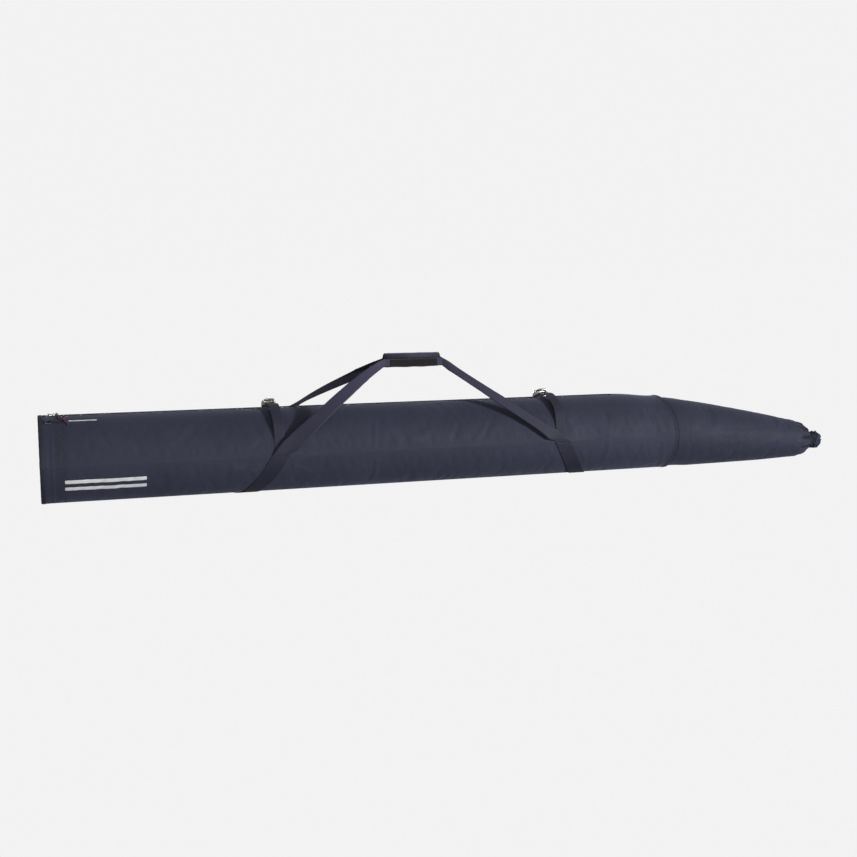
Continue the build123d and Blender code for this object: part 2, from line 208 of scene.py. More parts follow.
def make_object(name, verts, faces, uv=None, mats=(), attrs=None, flip_check=True):
    """An object from vertices and faces; uv is one pair per face corner."""
    mesh = bpy.data.meshes.new(name)
    mesh.from_pydata(
        np.asarray(verts, float).reshape(-1, 3).tolist(), [], [list(map(int, f)) for f in faces]
    )
    if uv is not None:
        layer = mesh.uv_layers.new(name="cloth")
        layer.data.foreach_set("uv", np.asarray(uv, np.float32).ravel())
    for key, values in (attrs or {}).items():
        mesh.attributes.new(key, "FLOAT", "POINT").data.foreach_set(
            "value", np.asarray(values, np.float32).ravel()
        )
    for m in mats:
        mesh.materials.append(m)
    if flip_check:
        with editing(mesh) as bm:
            bmesh.ops.recalc_face_normals(bm, faces=bm.faces)
    mesh.shade_smooth()
    mesh.validate()
    return link(bpy.data.objects.new(name, mesh))


def grid_faces(nu, nv, wrap, offset=0, flip=False):
    """Quads of a grid of nu rows and nv columns, with (row, column) of each corner."""
    i, j = mesh(np.arange(nu - 1), np.arange(nv if wrap else nv - 1))
    i, j = i.ravel(), j.ravel()
    ci = np.stack([i, i, i + 1, i + 1], 1)
    cj = np.stack([j, j + 1, j + 1, j], 1)
    if flip:
        ci, cj = ci[:, ::-1], cj[:, ::-1]
    return offset + ci * nv + cj % nv, ci, cj


def slab(name, outer, inner, u, v, wrap=False, **more):
    """A closed sheet with two sides. outer and inner are grids of points; u and v are metric grids.

    With wrap, the last column joins the first, and u and v have one column more than the points.
    """
    nu, nv = outer.shape[:2]
    n = nu * nv
    fo, ci, cj = grid_faces(nu, nv, wrap)
    fi, di, dj = grid_faces(nu, nv, wrap, n, True)
    faces, uvs = [fo, fi], [points(u[ci, cj], v[ci, cj]), points(u[di, dj], v[di, dj])]

    def rim(a_rows, a_cols):
        a = np.stack([a_rows[:-1], a_cols[:-1]], 1)
        b = np.stack([a_rows[1:], a_cols[1:]], 1)
        quad = [a, b, b, a]
        idx = np.stack([q[:, 0] * nv + q[:, 1] % nv for q in quad], 1)
        idx[:, 2:] += n
        faces.append(idx)
        uvs.append(np.stack([points(u[q[:, 0], q[:, 1]], v[q[:, 0], q[:, 1]]) for q in quad], 1))

    cols = np.arange(nv + 1 if wrap else nv)
    rows = np.arange(nu)
    rim(np.zeros_like(cols), cols)
    rim(np.full_like(cols, nu - 1), cols)
    if not wrap:
        rim(rows, np.zeros_like(rows))
        rim(rows, np.full_like(rows, nv - 1))
    verts = np.concatenate([outer.reshape(-1, 3), inner.reshape(-1, 3)])
    attrs = {k: np.concatenate([a.ravel(), a.ravel()]) for k, a in more.pop("attrs", {}).items()}
    return make_object(name, verts, np.concatenate(faces), np.concatenate(uvs), attrs=attrs, **more)


def loft(name, rings, u, v, close_u=False, **more):
    """A solid through closed rings of points (n rings, k points), capped at both ends or a ring itself."""
    n, k = rings.shape[:2]
    faces, ci, cj = grid_faces(n + 1 if close_u else n, k, True)
    faces = faces % (n * k)
    uvs = [points(u[ci, cj], v[ci, cj])]
    verts, faces = rings.reshape(-1, 3), [faces]
    if not close_u:
        verts = np.concatenate([verts, rings[:1].mean(1), rings[-1:].mean(1)])
        j = np.arange(k)
        for row, hub in ((0, n * k), (n - 1, n * k + 1)):
            tri = np.stack([row * k + j, row * k + (j + 1) % k, np.full(k, hub)], 1)
            faces.append(tri)
            uvs.append(
                np.stack(
                    [points(u[np.full(k, row), j + d], v[np.full(k, row), j + d]) for d in (0, 1, 0)], 1
                )
            )
    all_faces = [f for part in faces for f in part.tolist()]
    attrs = more.pop("attrs", {})
    if attrs and not close_u:
        attrs = {key: np.concatenate([a.ravel(), a[0, :1], a[-1, :1]]) for key, a in attrs.items()}
    return make_object(
        name, verts, all_faces, np.concatenate([q.reshape(-1, 2) for q in uvs]), attrs=attrs, **more
    )


def place(piece, body, node):
    """The piece moves with the body and stands for the CAD node, which is hidden."""
    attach(piece, body)
    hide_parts(node)


def path_length(points):
    """Running length along a line of points."""
    steps = np.linalg.norm(np.diff(points, axis=0), axis=1)
    return np.concatenate([[0], np.cumsum(steps)])


def softened(values, width, after=None):
    """A moving average of values. They hold their ends, or go on as after says."""
    kernel = np.hanning(width)
    side = width // 2
    after = np.full(side, values[-1]) if after is None else after
    padded = np.concatenate([np.full(side, values[0]), values, after])
    return np.convolve(padded, kernel / kernel.sum(), "valid")


def resample(points, step, *others):
    """Points spaced evenly along a line, with other values carried along."""
    s = path_length(points)
    count = max(int(round(s[-1] / step)), 1) + 1
    at = np.linspace(0, s[-1], count)

    def pick(a):
        a = np.asarray(a, float).reshape(len(s), -1)
        return np.stack([np.interp(at, s, a[:, c]) for c in range(a.shape[1])], 1)

    return [pick(points)] + [pick(o) for o in others]


def join(name, objects):
    """One object from several. They keep their materials and maps."""
    for o in objects:
        o.select_set(False)
    with bpy.context.temp_override(active_object=objects[0], selected_editable_objects=objects):
        bpy.ops.object.join()
    objects[0].name = name
    objects[0].data.name = name
    return objects[0]


# ------------------------------------------------------------------ webbing
def web_profile(half, thick, points, ribs, rib_depth):
    """A closed outline (across, normal) of webbing, with rounded edges and ribs along it."""
    w = -np.cos(np.linspace(0, math.pi, points))
    n = thick / 2 * (1 - np.abs(w) ** 8.0) ** 0.5
    n = n - rib_depth * (0.5 - 0.5 * np.cos((w + 1) * math.pi * ribs)) * (np.abs(w) < 0.97)
    top = np.stack([w * half, n], 1)
    under = np.stack([w[-2:0:-1] * half, -n[-2:0:-1]], 1)
    return np.concatenate([top, under])


def webbing_strip(name, centre, across, normal, profile, **more):
    """Webbing along a line. profile is one outline, or one per station."""
    profile = np.asarray(profile, float)
    if profile.ndim == 2:
        profile = np.repeat(profile[None], len(centre), 0)
    rings = centre[:, None] + profile[..., :1] * across[:, None] + profile[..., 1:] * normal[:, None]
    s = path_length(centre)
    girth = path_length(np.concatenate([profile[0], profile[0][:1]]))
    u, v = mesh(s, girth)
    half = np.abs(profile[0, :, 0]).max()
    edge = np.repeat(smooth(0.8, 1.0, np.abs(profile[0, :, 0]) / half)[None], len(centre), 0)
    return loft(name, rings, u, v, attrs={"edge": edge}, **more)


# ------------------------------------------------------------------ thread
def stitches(name, points, normals):
    """A row of stitches: one small rounded bead of thread per pitch, lying on the surface."""
    pitch, share, thick, lift = 3.4 * mm, 0.68, 0.32 * mm, 0.1 * mm
    p, n = resample(np.asarray(points, float), pitch, normals)
    n = unit(n)
    mid, along = (p[1:] + p[:-1]) / 2, p[1:] - p[:-1]
    n = unit((n[1:] + n[:-1]) / 2)
    t = unit(along)
    b = np.cross(n, t)
    half = pitch * share / 2
    at = np.array([-1.0, -0.72, 0, 0.72, 1.0])
    size = np.array([0.25, 0.8, 1.0, 0.8, 0.25])
    turn = np.arange(6) * math.pi / 3
    ring = (
        mid[:, None, None]
        + (at * half)[None, :, None, None] * t[:, None, None]
        + (size[:, None] * thick * np.cos(turn))[None, :, :, None] * b[:, None, None]
        + ((size[:, None] * thick * np.sin(turn)) + (lift - 0.35 * thick * np.abs(at[:, None])))[
            None, :, :, None
        ] * n[:, None, None]
    )
    count = len(mid)
    base, _, _ = grid_faces(5, 6, True)
    faces = (base[None] + (np.arange(count) * 30)[:, None, None]).reshape(-1, 4).tolist()
    for i in range(count):
        faces.append([i * 30 + j for j in range(5, -1, -1)])
        faces.append([i * 30 + 24 + j for j in range(6)])
    return make_object(name, ring, faces, mats=[thread_mat])


# ------------------------------------------------------------------ materials
class Nodes:
    """A short way to write a node tree."""

    def __init__(self, name):
        self.material = bpy.data.materials.new(name)
        self.material.use_nodes = True
        self.tree = self.material.node_tree
        self.shader = self.tree.nodes["Principled BSDF"]

    def add(self, kind, inputs=None, **props):
        node = self.tree.nodes.new(kind)
        for key, value in props.items():
            setattr(node, key, value)
        for key, value in (inputs or {}).items():
            self.give(node.inputs[key], value)
        return node

    def give(self, socket, value):
        """Link or set a socket."""
        if isinstance(value, bpy.types.NodeSocket):
            self.tree.links.new(value, socket)
        else:
            socket.default_value = value

    def math(self, operation, a, b=0.0):
        return self.add("ShaderNodeMath", {0: a, 1: b, 2: 0.0}, operation=operation).outputs[0]

    def mul(self, a, b):
        return self.math("MULTIPLY", a, b)

    def plus(self, a, b):
        return self.math("ADD", a, b)

    def hump(self, a, turn=tau / 2):
        """The size of sin(a * turn)."""
        return self.math("ABSOLUTE", self.math("SINE", self.mul(a, turn)))

    def mix(self, factor, a, b):
        return self.add("ShaderNodeMix", {0: factor, 6: a, 7: b}, data_type="RGBA").outputs[2]

    def tint(self, colour, mask, share, rgb):
        """The colour with this share of another laid over it where the mask is 1."""
        return self.mix(self.mul(mask, share), colour, rgba(*rgb))

    def ramp(self, value, low, high, to_low=0.0, to_high=1.0):
        node = self.add("ShaderNodeMapRange", {0: value, 1: low, 2: high, 3: to_low, 4: to_high})
        node.interpolation_type = "SMOOTHSTEP"
        return node.outputs[0]

    def noise(self, scale, detail=2.0, rough=0.5, vector=None):
        vector = vector or self.add("ShaderNodeTexCoord").outputs["Object"]
        inputs = {"Vector": vector, "Scale": scale, "Detail": detail, "Roughness": rough}
        return self.add("ShaderNodeTexNoise", inputs).outputs[0]

    def attribute(self, name):
        return self.add("ShaderNodeAttribute", attribute_name=name).outputs["Fac"]

    def uv(self):
        parts = self.add(
            "ShaderNodeSeparateXYZ", {0: self.add("ShaderNodeUVMap", uv_map="cloth").outputs[0]}
        )
        return parts.outputs[0], parts.outputs[1]

    def set(self, **values):
        for key, value in values.items():
            self.give(self.shader.inputs[key.replace("_", " ")], value)

    def bump(self, height, distance, strength=1.0):
        node = self.add("ShaderNodeBump", {"Height": height, "Distance": distance, "Strength": strength})
        self.tree.links.new(node.outputs[0], self.shader.inputs["Normal"])


def rgba(r, g, b):
    return (r, g, b, 1.0)


def weave_height(n, pitch):
    """Height and which-thread-is-over of a plain weave with this thread spacing, in metres."""
    u, v = n.uv()
    a, b = n.math("DIVIDE", u, pitch), n.math("DIVIDE", v, pitch)
    over = n.math("MODULO", n.plus(n.math("FLOOR", a), n.math("FLOOR", b)), 2.0)
    over = n.math("ABSOLUTE", over)
    along_a = n.hump(a)
    along_b = n.hump(b)
    warp = n.mul(n.math("POWER", along_a, 0.6), n.math("POWER", along_b, 0.35))
    weft = n.mul(n.math("POWER", along_b, 0.6), n.math("POWER", along_a, 0.35))
    height = n.plus(n.mul(over, warp), n.mul(n.math("SUBTRACT", 1.0, over), weft))
    return height, over


def cloth_material(
    name,
    base,
    light,
    dark,
    pitch=0.55 * mm,
    rough=0.56,
    sheen=0.25,
    spec=0.22,
    relief=0.10 * mm,
    painted_shading_rgb=None,
):
    """Coated woven nylon: fine plain weave, soft colour drift, rubbed high spots and painted shade in
    creases, gaps and shaded ends.
    """
    n = Nodes(name)
    height, over = weave_height(n, pitch)
    drift = n.noise(7.0, 3.0, 0.55)
    grain = n.noise(320.0, 2.0, 0.6)
    colour = n.mix(n.ramp(drift, 0.32, 0.68), rgba(*dark), rgba(*base))
    colour = n.tint(colour, n.ramp(grain, 0.42, 0.62), 0.10, light)
    colour = n.tint(colour, over, 0.14, light)
    colour = n.tint(colour, n.attribute("wear"), 0.55, light)
    # Painted shade: the colour goes towards a dark shading colour where a per-vertex attribute marks
    # creases, gaps and shaded ends.
    colour = n.tint(colour, n.attribute("painted_shade"), 0.9, painted_shading_rgb or tuple(c * 0.45 for c in dark))
    roughness = n.plus(n.mul(n.ramp(n.noise(24.0, 4.0), 0.3, 0.7), 0.1), rough - 0.05)
    n.set(
        Base_Color=colour,
        Roughness=roughness,
        Sheen_Weight=sheen,
        Sheen_Roughness=0.45,
        Sheen_Tint=rgba(0.55, 0.58, 0.8),
    )
    n.shader.inputs["Specular IOR Level"].default_value = spec
    n.bump(n.plus(height, n.mul(grain, 0.4)), relief, 0.45)
    return n.material


def web_material(name, base, light, dark, rib=2.1 * mm, pick=1.3 * mm, relief=0.22 * mm):
    """Woven polyester webbing: ribs of warp along it, a chevron of weft over them, fuzzy rubbed edges, with
    painted highlight on the rib crests and painted shade in the valleys and where the mesh marks it.
    """
    n = Nodes(name)
    u, v = n.uv()
    a = n.math("DIVIDE", v, rib)
    ribs = n.hump(a)
    zig = n.math("PINGPONG", v, rib)
    b = n.math("DIVIDE", n.plus(u, n.mul(zig, 0.8)), pick)
    picks = n.hump(b)
    height = n.plus(n.mul(n.math("POWER", ribs, 0.5), 0.65), n.mul(n.math("POWER", picks, 0.7), 0.35))
    drift = n.noise(14.0, 3.0)
    fuzz = n.noise(900.0, 1.0)
    colour = n.mix(n.ramp(drift, 0.3, 0.7), rgba(*dark), rgba(*base))
    # Painted highlight on the crests of the ribs and painted shade in the valleys between them.
    colour = n.tint(colour, n.ramp(height, 0.35, 0.95), 0.6, light)
    colour = n.tint(colour, n.ramp(height, 0.4, 0.05), 0.7, (c * 0.35 for c in dark))
    colour = n.tint(colour, n.mul(n.attribute("edge"), n.ramp(fuzz, 0.4, 0.6)), 0.6, light)
    # Painted shade where a per-vertex attribute marks it: the handle legs towards their roots.
    colour = n.tint(colour, n.attribute("painted_shade"), 0.4, (c * 0.45 for c in dark))
    n.set(
        Base_Color=colour,
        Roughness=n.ramp(drift, 0.2, 0.8, 0.56, 0.70),
        Sheen_Weight=0.08,
        Sheen_Roughness=0.4,
    )
    n.shader.inputs["Specular IOR Level"].default_value = 0.2
    n.bump(n.plus(height, n.mul(fuzz, 0.25)), relief, 0.9)
    return n.material


def metal_material(name, tint, rough):
    """Plated metal: fine brushed scratches, and dull, darker stains at random."""
    n = Nodes(name)
    stain = n.noise(90.0, 4.0, 0.6)
    lines = n.add(
        "ShaderNodeMapping",
        {"Vector": n.add("ShaderNodeTexCoord").outputs["Object"], "Scale": (60.0, 900.0, 900.0)},
    ).outputs[0]
    brushed = n.noise(6.0, 3.0, 0.6, lines)
    colour = n.mix(n.ramp(stain, 0.45, 0.75), rgba(*tint), rgba(*(c * 0.62 for c in tint)))
    roughness = n.plus(n.mul(brushed, 0.12), n.ramp(stain, 0.35, 0.8, rough - 0.03, rough + 0.14))
    n.set(Base_Color=colour, Roughness=roughness, Metallic=1.0)
    n.bump(n.plus(brushed, n.mul(stain, 0.4)), 0.05 * mm, 0.35)
    return n.material


def braid_material(name, base, light, pitch=1.5 * mm):
    """Braided cord: two families of strands that cross at an angle, with painted shade in the gaps between
    strands.
    """
    n = Nodes(name)
    u, v = n.uv()
    a = n.hump(n.plus(u, v), math.pi / pitch)
    b = n.hump(n.math("SUBTRACT", u, v), math.pi / pitch)
    height = n.math("MAXIMUM", n.math("POWER", a, 0.7), n.math("POWER", b, 0.7))
    drift = n.noise(60.0, 2.0)
    # Painted shade: the gaps between strands are darker than the strand tops.
    colour = n.mix(n.ramp(height, 0.55, 1.0), rgba(*(c * 0.4 for c in base)), rgba(*base))
    colour = n.tint(colour, n.ramp(drift, 0.4, 0.7), 0.5, light)
    n.set(Base_Color=colour, Roughness=0.55, Sheen_Weight=0.25)
    n.bump(height, 0.2 * mm, 0.8)
    return n.material


navy = cloth_material(
    "navy_nylon",
    (0.0375, 0.0395, 0.066),
    (0.056, 0.060, 0.094),
    (0.0325, 0.0345, 0.058),
    rough=0.64,
    spec=0.15,
    painted_shading_rgb=(0.022, 0.020, 0.027),
)
# The nose's nylon is kept darker than the body's to offset the stronger key light on this end, which is
# painted shade; its near-black shading colour paints shade in the gathers.
nose_navy = cloth_material(
    "navy_nylon_nose",
    (0.0330, 0.0350, 0.0595),
    (0.050, 0.054, 0.088),
    (0.0285, 0.0305, 0.0520),
    pitch=0.45 * mm,
    rough=0.64,
    spec=0.15,
    sheen=0.19,
    painted_shading_rgb=(0.004, 0.0042, 0.008),
)
# A copy of the body's nylon whose near-black shading colour paints the shadow in the gap between the hem and
# the nose.
hem_mat = cloth_material(
    "navy_hem",
    (0.0375, 0.0395, 0.066),
    (0.056, 0.060, 0.094),
    (0.0325, 0.0345, 0.058),
    rough=0.64,
    spec=0.15,
    painted_shading_rgb=(0.003, 0.003, 0.005),
)
binding_mat = web_material(
    "navy_grosgrain",
    (0.018, 0.019, 0.031),
    (0.040, 0.042, 0.062),
    (0.013, 0.014, 0.022),
    rib=1.1 * mm,
    pick=1.6 * mm,
    relief=0.15 * mm,
)
tape_mat = web_material(
    "zip_tape_twill",
    (0.016, 0.017, 0.029),
    (0.034, 0.037, 0.058),
    (0.012, 0.013, 0.021),
    rib=0.9 * mm,
    pick=0.8 * mm,
    relief=0.1 * mm,
)
band_mat = web_material(
    "navy_webbing_band", (0.0200, 0.0208, 0.0365), (0.034, 0.035, 0.061), (0.0165, 0.0170, 0.0310)
)
web_mat = web_material(
    "navy_webbing_wide", (0.0390, 0.0375, 0.0655), (0.074, 0.071, 0.120), (0.0320, 0.0310, 0.0540)
)
# The back loop is the same webbing as the front one, made darker because it faces away from the light:
# painted shade.
web_back_shaded_mat = web_material(
    "navy_webbing_back_shaded", (0.0175, 0.0170, 0.0300), (0.032, 0.031, 0.052), (0.0145, 0.0140, 0.0245)
)
strap_mat = web_material(
    "navy_webbing_narrow",
    (0.0255, 0.0255, 0.0440),
    (0.042, 0.043, 0.071),
    (0.0215, 0.0215, 0.0370),
    rib=1.6 * mm,
)
# The wrap's near-black shading colour paints shade at its ends and along the line where the roll opens.
wrap_mat = cloth_material(
    "navy_wrap_nylon",
    (0.046, 0.046, 0.074),
    (0.085, 0.086, 0.125),
    (0.036, 0.036, 0.058),
    pitch=0.7 * mm,
    sheen=0.45,
    rough=0.5,
    relief=0.14 * mm,
    painted_shading_rgb=(0.004, 0.004, 0.006),
)
thread_mat = braid_material("navy_thread", (0.040, 0.044, 0.072), (0.075, 0.08, 0.12), 0.5 * mm)
coil_mat = cloth_material(
    "nylon_coil",
    (0.020, 0.021, 0.030),
    (0.05, 0.052, 0.066),
    (0.016, 0.017, 0.024),
    rough=0.35,
    sheen=0.0,
    spec=0.5,
    relief=0.02 * mm,
)
zip_metal = metal_material("zip_nickel", (0.22, 0.22, 0.225), 0.34)
buckle_metal = metal_material("buckle_steel", (0.78, 0.77, 0.75), 0.20)
spring_metal = metal_material("spring_steel", (0.42, 0.42, 0.43), 0.30)
puller_mat = braid_material("burgundy_cord", (0.085, 0.018, 0.055), (0.15, 0.040, 0.10), 1.4 * mm)
tie_mat = braid_material("navy_tie_cord", (0.033, 0.035, 0.060), (0.055, 0.06, 0.09), 1.3 * mm)


def hook_material():
    """Hook tape: a dense dark brownish-black pile."""
    n = Nodes("hook_tape")
    pile = n.noise(1500.0, 2.0, 0.7)
    patches = n.noise(60.0, 3.0)
    colour = n.mix(n.ramp(pile, 0.35, 0.7), rgba(0.0055, 0.0048, 0.0044), rgba(0.0185, 0.0165, 0.015))
    colour = n.tint(colour, n.ramp(patches, 0.5, 0.8), 0.4, (0.026, 0.0235, 0.022))
    n.set(Base_Color=colour, Roughness=0.9, Sheen_Weight=0.12, Sheen_Roughness=0.7)
    n.shader.inputs["Specular IOR Level"].default_value = 0.1
    n.bump(pile, 0.5 * mm, 1.0)
    return n.material


def print_material():
    """Heat-set reflective film: pale grey, a little crazed, with the weave telegraphing through."""
    n = Nodes("reflective_print")
    height, _ = weave_height(n, 0.55 * mm)
    chips = n.ramp(n.noise(420.0, 4.0, 0.65), 0.60, 0.68)
    drift = n.noise(30.0, 3.0)
    colour = n.mix(n.ramp(drift, 0.3, 0.7), rgba(0.74, 0.75, 0.77), rgba(0.84, 0.84, 0.85))
    colour = n.tint(colour, chips, 0.5, (0.35, 0.36, 0.42))
    n.set(Base_Color=colour, Roughness=0.42)
    n.bump(height, 0.06 * mm, 0.5)
    return n.material


hook_mat = hook_material()
print_mat = print_material()


# ------------------------------------------------------------------ the body's surface
def body_outline(x):
    """Height of the crest at x, and the circle's radius and centre there."""
    crest = body_top - mouth_drop * smooth(taper_start - 10 * mm, taper_end + 14 * mm, x)
    return crest, (crest - belly) / 2, (crest + belly) / 2


def soft_min(a, b, k):
    """The smaller of two, rounded over k where they meet."""
    h = clamp(0.5 + 0.5 * (b - a) / k)
    return b + (a - b) * h - k * h * (1 - h)


def ray_reach(phi, r, centre, flat, rounding=9 * mm):
    """Distance from the axis to a circle that rests on a flat, at the angle phi."""
    down = np.maximum(-np.cos(phi), 0.05)
    return soft_min(r * np.ones_like(phi), (centre - flat) / down, rounding)


def body_normal(phi):
    return points(0.0, -np.sin(phi), np.cos(phi))


def at_angle(x, reach, phi, centre):
    """Points at x, this far from the line at height centre, at the angle phi."""
    return points(x, -reach * np.sin(phi), centre + reach * np.cos(phi))


def radiating(x, phi, x0, phi0, seed, count, reach, start, width, height, lean, side):
    """Small folds that fan out from a point where the fabric is pulled."""
    r = np.random.default_rng(seed)
    out = np.zeros(np.broadcast(x, phi).shape)
    for i in range(count):
        turn = (lean[0] + (lean[1] - lean[0]) * (i + 0.3 + 0.4 * r.random()) / count) * deg
        far = reach * (0.55 + 0.6 * r.random())
        dx, ds = (x - x0) * side, (phi - phi0) * radius
        along = dx * math.cos(turn) + ds * math.sin(turn)
        off = -dx * math.sin(turn) + ds * math.cos(turn)
        bend = 0.0012 * far * np.sin(along / far * 4 + i) * 8
        w = width * (0.5 + 0.9 * clamp(along / far))
        out += height * (0.6 + 0.6 * r.random()) * bell(off - bend, w) * smooth(
            start * 0.3, start * 2, along
        ) * fade(far * 0.45, far, along)
    return out


def fold(x, phi, x0, phi0, x1, phi1, width, height):
    """One long soft fold between two places on the bag."""
    ax, as_ = x0, phi0 * radius
    bx, bs = x1, phi1 * radius
    length = math.hypot(bx - ax, bs - as_)
    tx, ts = (bx - ax) / length, (bs - as_) / length
    along = (x - ax) * tx + (phi * radius - as_) * ts
    off = -(x - ax) * ts + (phi * radius - as_) * tx
    t = along / length
    off = off - 0.03 * length * np.sin(t * 5 + x0 * 9)
    ridge = bell(off, width) - 0.55 * bell(off - 1.7 * width, 1.2 * width)
    return height * ridge * smooth(-0.05, 0.3, t) * fade(0.6, 1.05, t)


rumple_low = waves(11, 26, 90 * mm, 240 * mm, 1.3)
rumple_mid = waves(12, 34, 34 * mm, 90 * mm, 0.8)
rumple_fine = waves(13, 40, 11 * mm, 30 * mm, 0.8)


def held(x, phi):
    """Where the shell can't move: 1 at the seams, zip, bands, straps and ends, 0 in the open."""
    a = off_crest(phi)
    hold = fade(13 * deg, 24 * deg, a)
    by_zip_end = fade(34 * mm, 60 * mm, np.abs(x - slider_stop_x))
    hold = np.maximum(hold, (0.5 + 0.5 * by_zip_end) * fade(38 * deg, 52 * deg, a))
    hold = np.maximum(hold, fade(2 * deg, 12 * deg, np.abs(a - seam)))
    hold = np.maximum(hold, smooth(148 * deg, 158 * deg, a))
    hold = np.maximum(hold, fade(6 * mm, 34 * mm, x - panel_start))
    hold = np.maximum(hold, smooth(panel_end - 30 * mm, panel_end - 6 * mm, x))
    for name, lean in (("left", -1), ("right", 1)):
        run = np.maximum(a - seam, 0) * radius
        middle = root_x[name] + lean * math.tan(band_angle) * run
        on_band = fade(24 * mm, 40 * mm, np.abs(x - middle)) * smooth(86 * deg, 92 * deg, a)
        on_strap = fade(14 * mm, 30 * mm, np.abs(x - strap_x[name])) * np.maximum(
            smooth(58 * deg, 72 * deg, a), (phi < 0) * smooth(36 * deg, 44 * deg, a)
        )
        hold = np.maximum(hold, np.maximum(on_band, on_strap * (a < 96 * deg)))
    return clamp(hold)


# Fans of small folds by each strap's foot and each band's root: their places, 1 for towards the
# handle, distance (mm), angle, seed, count, reach, start, width, height (mm) and lean (degrees)
fans = (
    (strap_x, 1, 22, 74, 31, 6, 95, 7, 4.2, 0.65, (-75, 60)),
    (strap_x, -1, 16, 60, 41, 5, 70, 8, 4.5, 0.5, (-60, 60)),
    (root_x, 1, 24, 99, 51, 6, 90, 7, 4.5, 0.8, (-35, 75)),
    (root_x, -1, 26, 101, 61, 4, 60, 7, 4.0, 0.5, (10, 80)),
)
# Long soft folds: x and angle where they start and end, width and height (mm)
long_folds = (
    (-0.279, 44, -0.282, 87, 5, 0.8),
    (-0.285, 93, -0.276, 150, 5, 0.9),
    (-0.10, 84, -0.07, 50, 6, 0.7),
    (-0.035, 86, 0.025, 46, 6, 0.8),
    (-0.79, 84, -0.70, 30, 9, 0.6),
    (0.33, 60, 0.335, 140, 5, 0.6),
)


def wrinkles(x, phi):
    """How far the slack fabric stands in or out of its round shape, from listed folds."""
    s = phi * radius
    up = np.where(phi > math.pi, phi - tau, phi)
    loose = 1 - held(x, phi)
    out = loose * (
        0.75 * mm * field(x, s, rumple_low)
        + 0.36 * mm * field(x, s, rumple_mid) * (0.4 + 0.6 * field(x * 0.7, s, rumple_low) ** 2 * 3)
    )
    out += (0.25 + 0.75 * loose) * 0.09 * mm * field(x, s, rumple_fine)
    cuff = panel_start + 46 * mm
    ends = np.exp(-np.abs(x - panel_start - 14 * mm) / (26 * mm))
    out += 0.32 * mm * ends * np.cos(s / (5.5 * mm) + 2.2 * field(x * 0.3, s, rumple_mid)) * smooth(
        0, 12 * mm, x - panel_start
    )
    out -= 0.35 * mm * bell(x - cuff, 2.4 * mm)
    for piping in (15 * mm, 28 * mm):
        out += 0.8 * mm * bell(x - left_end - piping, 1.5 * mm)
    gather = np.exp(-(panel_end - x) / (17 * mm)) * fade(
        0.97, 1.0, (x - panel_start) / (panel_end - panel_start)
    )
    out += 1.0 * mm * gather * np.cos(s / (4.6 * mm) + 2.6 * field(x * 0.25, s, rumple_mid))
    for side in (1, -1):
        near = np.abs(up) < seam + 2
        for k, name in enumerate(("left", "right")):
            towards = 1 if name == "left" else -1
            for places, way, far, turn, seed, count, reach, start, width, height, lean in fans:
                way = way * towards
                fan = radiating(
                    x,
                    up * side,
                    places[name] + way * far * mm,
                    turn * deg,
                    seed + k + side,
                    count,
                    reach * mm,
                    start * mm,
                    width * mm,
                    height * mm,
                    lean,
                    way,
                )
                out += near * fan
        for x0, turn0, x1, turn1, width, height in long_folds:
            out += fold(x, up * side, x0, turn0 * deg, x1, turn1 * deg, width * mm, height * mm)
    return np.clip(out, -2.6 * mm, 2.6 * mm)


# A cloth simulation of the slack shell adds to those folds. It gives one grid of heights.
sim_x = np.linspace(panel_start, panel_end, 200)
sim_phi = circle(81)[:-1]
swell_grid = np.zeros((len(sim_x), len(sim_phi)))


def sample_grid(grid, x, phi, xs):
    """Smooth (cubic) value of a grid that wraps in phi, at any places."""
    x, phi = np.broadcast_arrays(x, phi)
    fx = np.clip((x - xs[0]) / (xs[1] - xs[0]), 0, len(xs) - 1.0001)
    fp = (phi / (tau) * grid.shape[1]) % grid.shape[1]
    i, j = np.floor(fx).astype(int), np.floor(fp).astype(int)
    tx, tp = fx - i, fp - j

    def weights(t):
        return [
            -0.5 * t + t**2 - 0.5 * t**3,
            1 - 2.5 * t**2 + 1.5 * t**3,
            0.5 * t + 2 * t**2 - 1.5 * t**3,
            -0.5 * t**2 + 0.5 * t**3,
        ]

    wx, wp = weights(tx), weights(tp)
    out = np.zeros(x.shape)
    for a in range(4):
        row = np.clip(i + a - 1, 0, len(xs) - 1)
        for b in range(4):
            out += wx[a] * wp[b] * grid[row, (j + b - 1) % grid.shape[1]]
    return out


def crease(phi, x=0.0):
    """The upper panels meet the base at a soft ridge along the widest line."""
    a = off_crest(phi)
    ridge = 2.1 * mm * np.exp(-np.abs(a - seam) / (13 * deg)) - 0.7 * mm * bell(a - 62 * deg, 26 * deg)
    return ridge * (1 - 0.75 * smooth(0.22, 0.34, x))


def mouth_pull(x, phi):
    """The elastic draws the mouth back: most along the crest, least at the widest line."""
    c = np.cos(phi)
    return -(7 + 12.5 * c**2 + 2.5 * c * np.abs(c)) * mm * smooth(
        panel_end - 130 * mm, panel_end - 2 * mm, x
    )


def slack_height(x, phi):
    return wrinkles(x, phi) + sample_grid(swell_grid, x, phi, sim_x)


def body_skin(x, phi, lift=0.0, rumpled=True):
    """Points on the body's outside at x and phi, lifted by lift."""
    x, phi, lift = np.broadcast_arrays(np.asarray(x, float), np.asarray(phi, float), lift)
    _, r, centre = body_outline(x)
    reach = ray_reach(phi, r, centre, floor_gap)
    a = off_crest(phi)
    bottom = smooth(150 * deg, 160 * deg, a)
    extra = crease(phi, x) * (1 - bottom)
    if rumpled:
        extra = extra + slack_height(x, phi) * (1 - bottom)
    reach = reach + extra + lift
    return at_angle(x + mouth_pull(x, phi), reach, phi, centre)


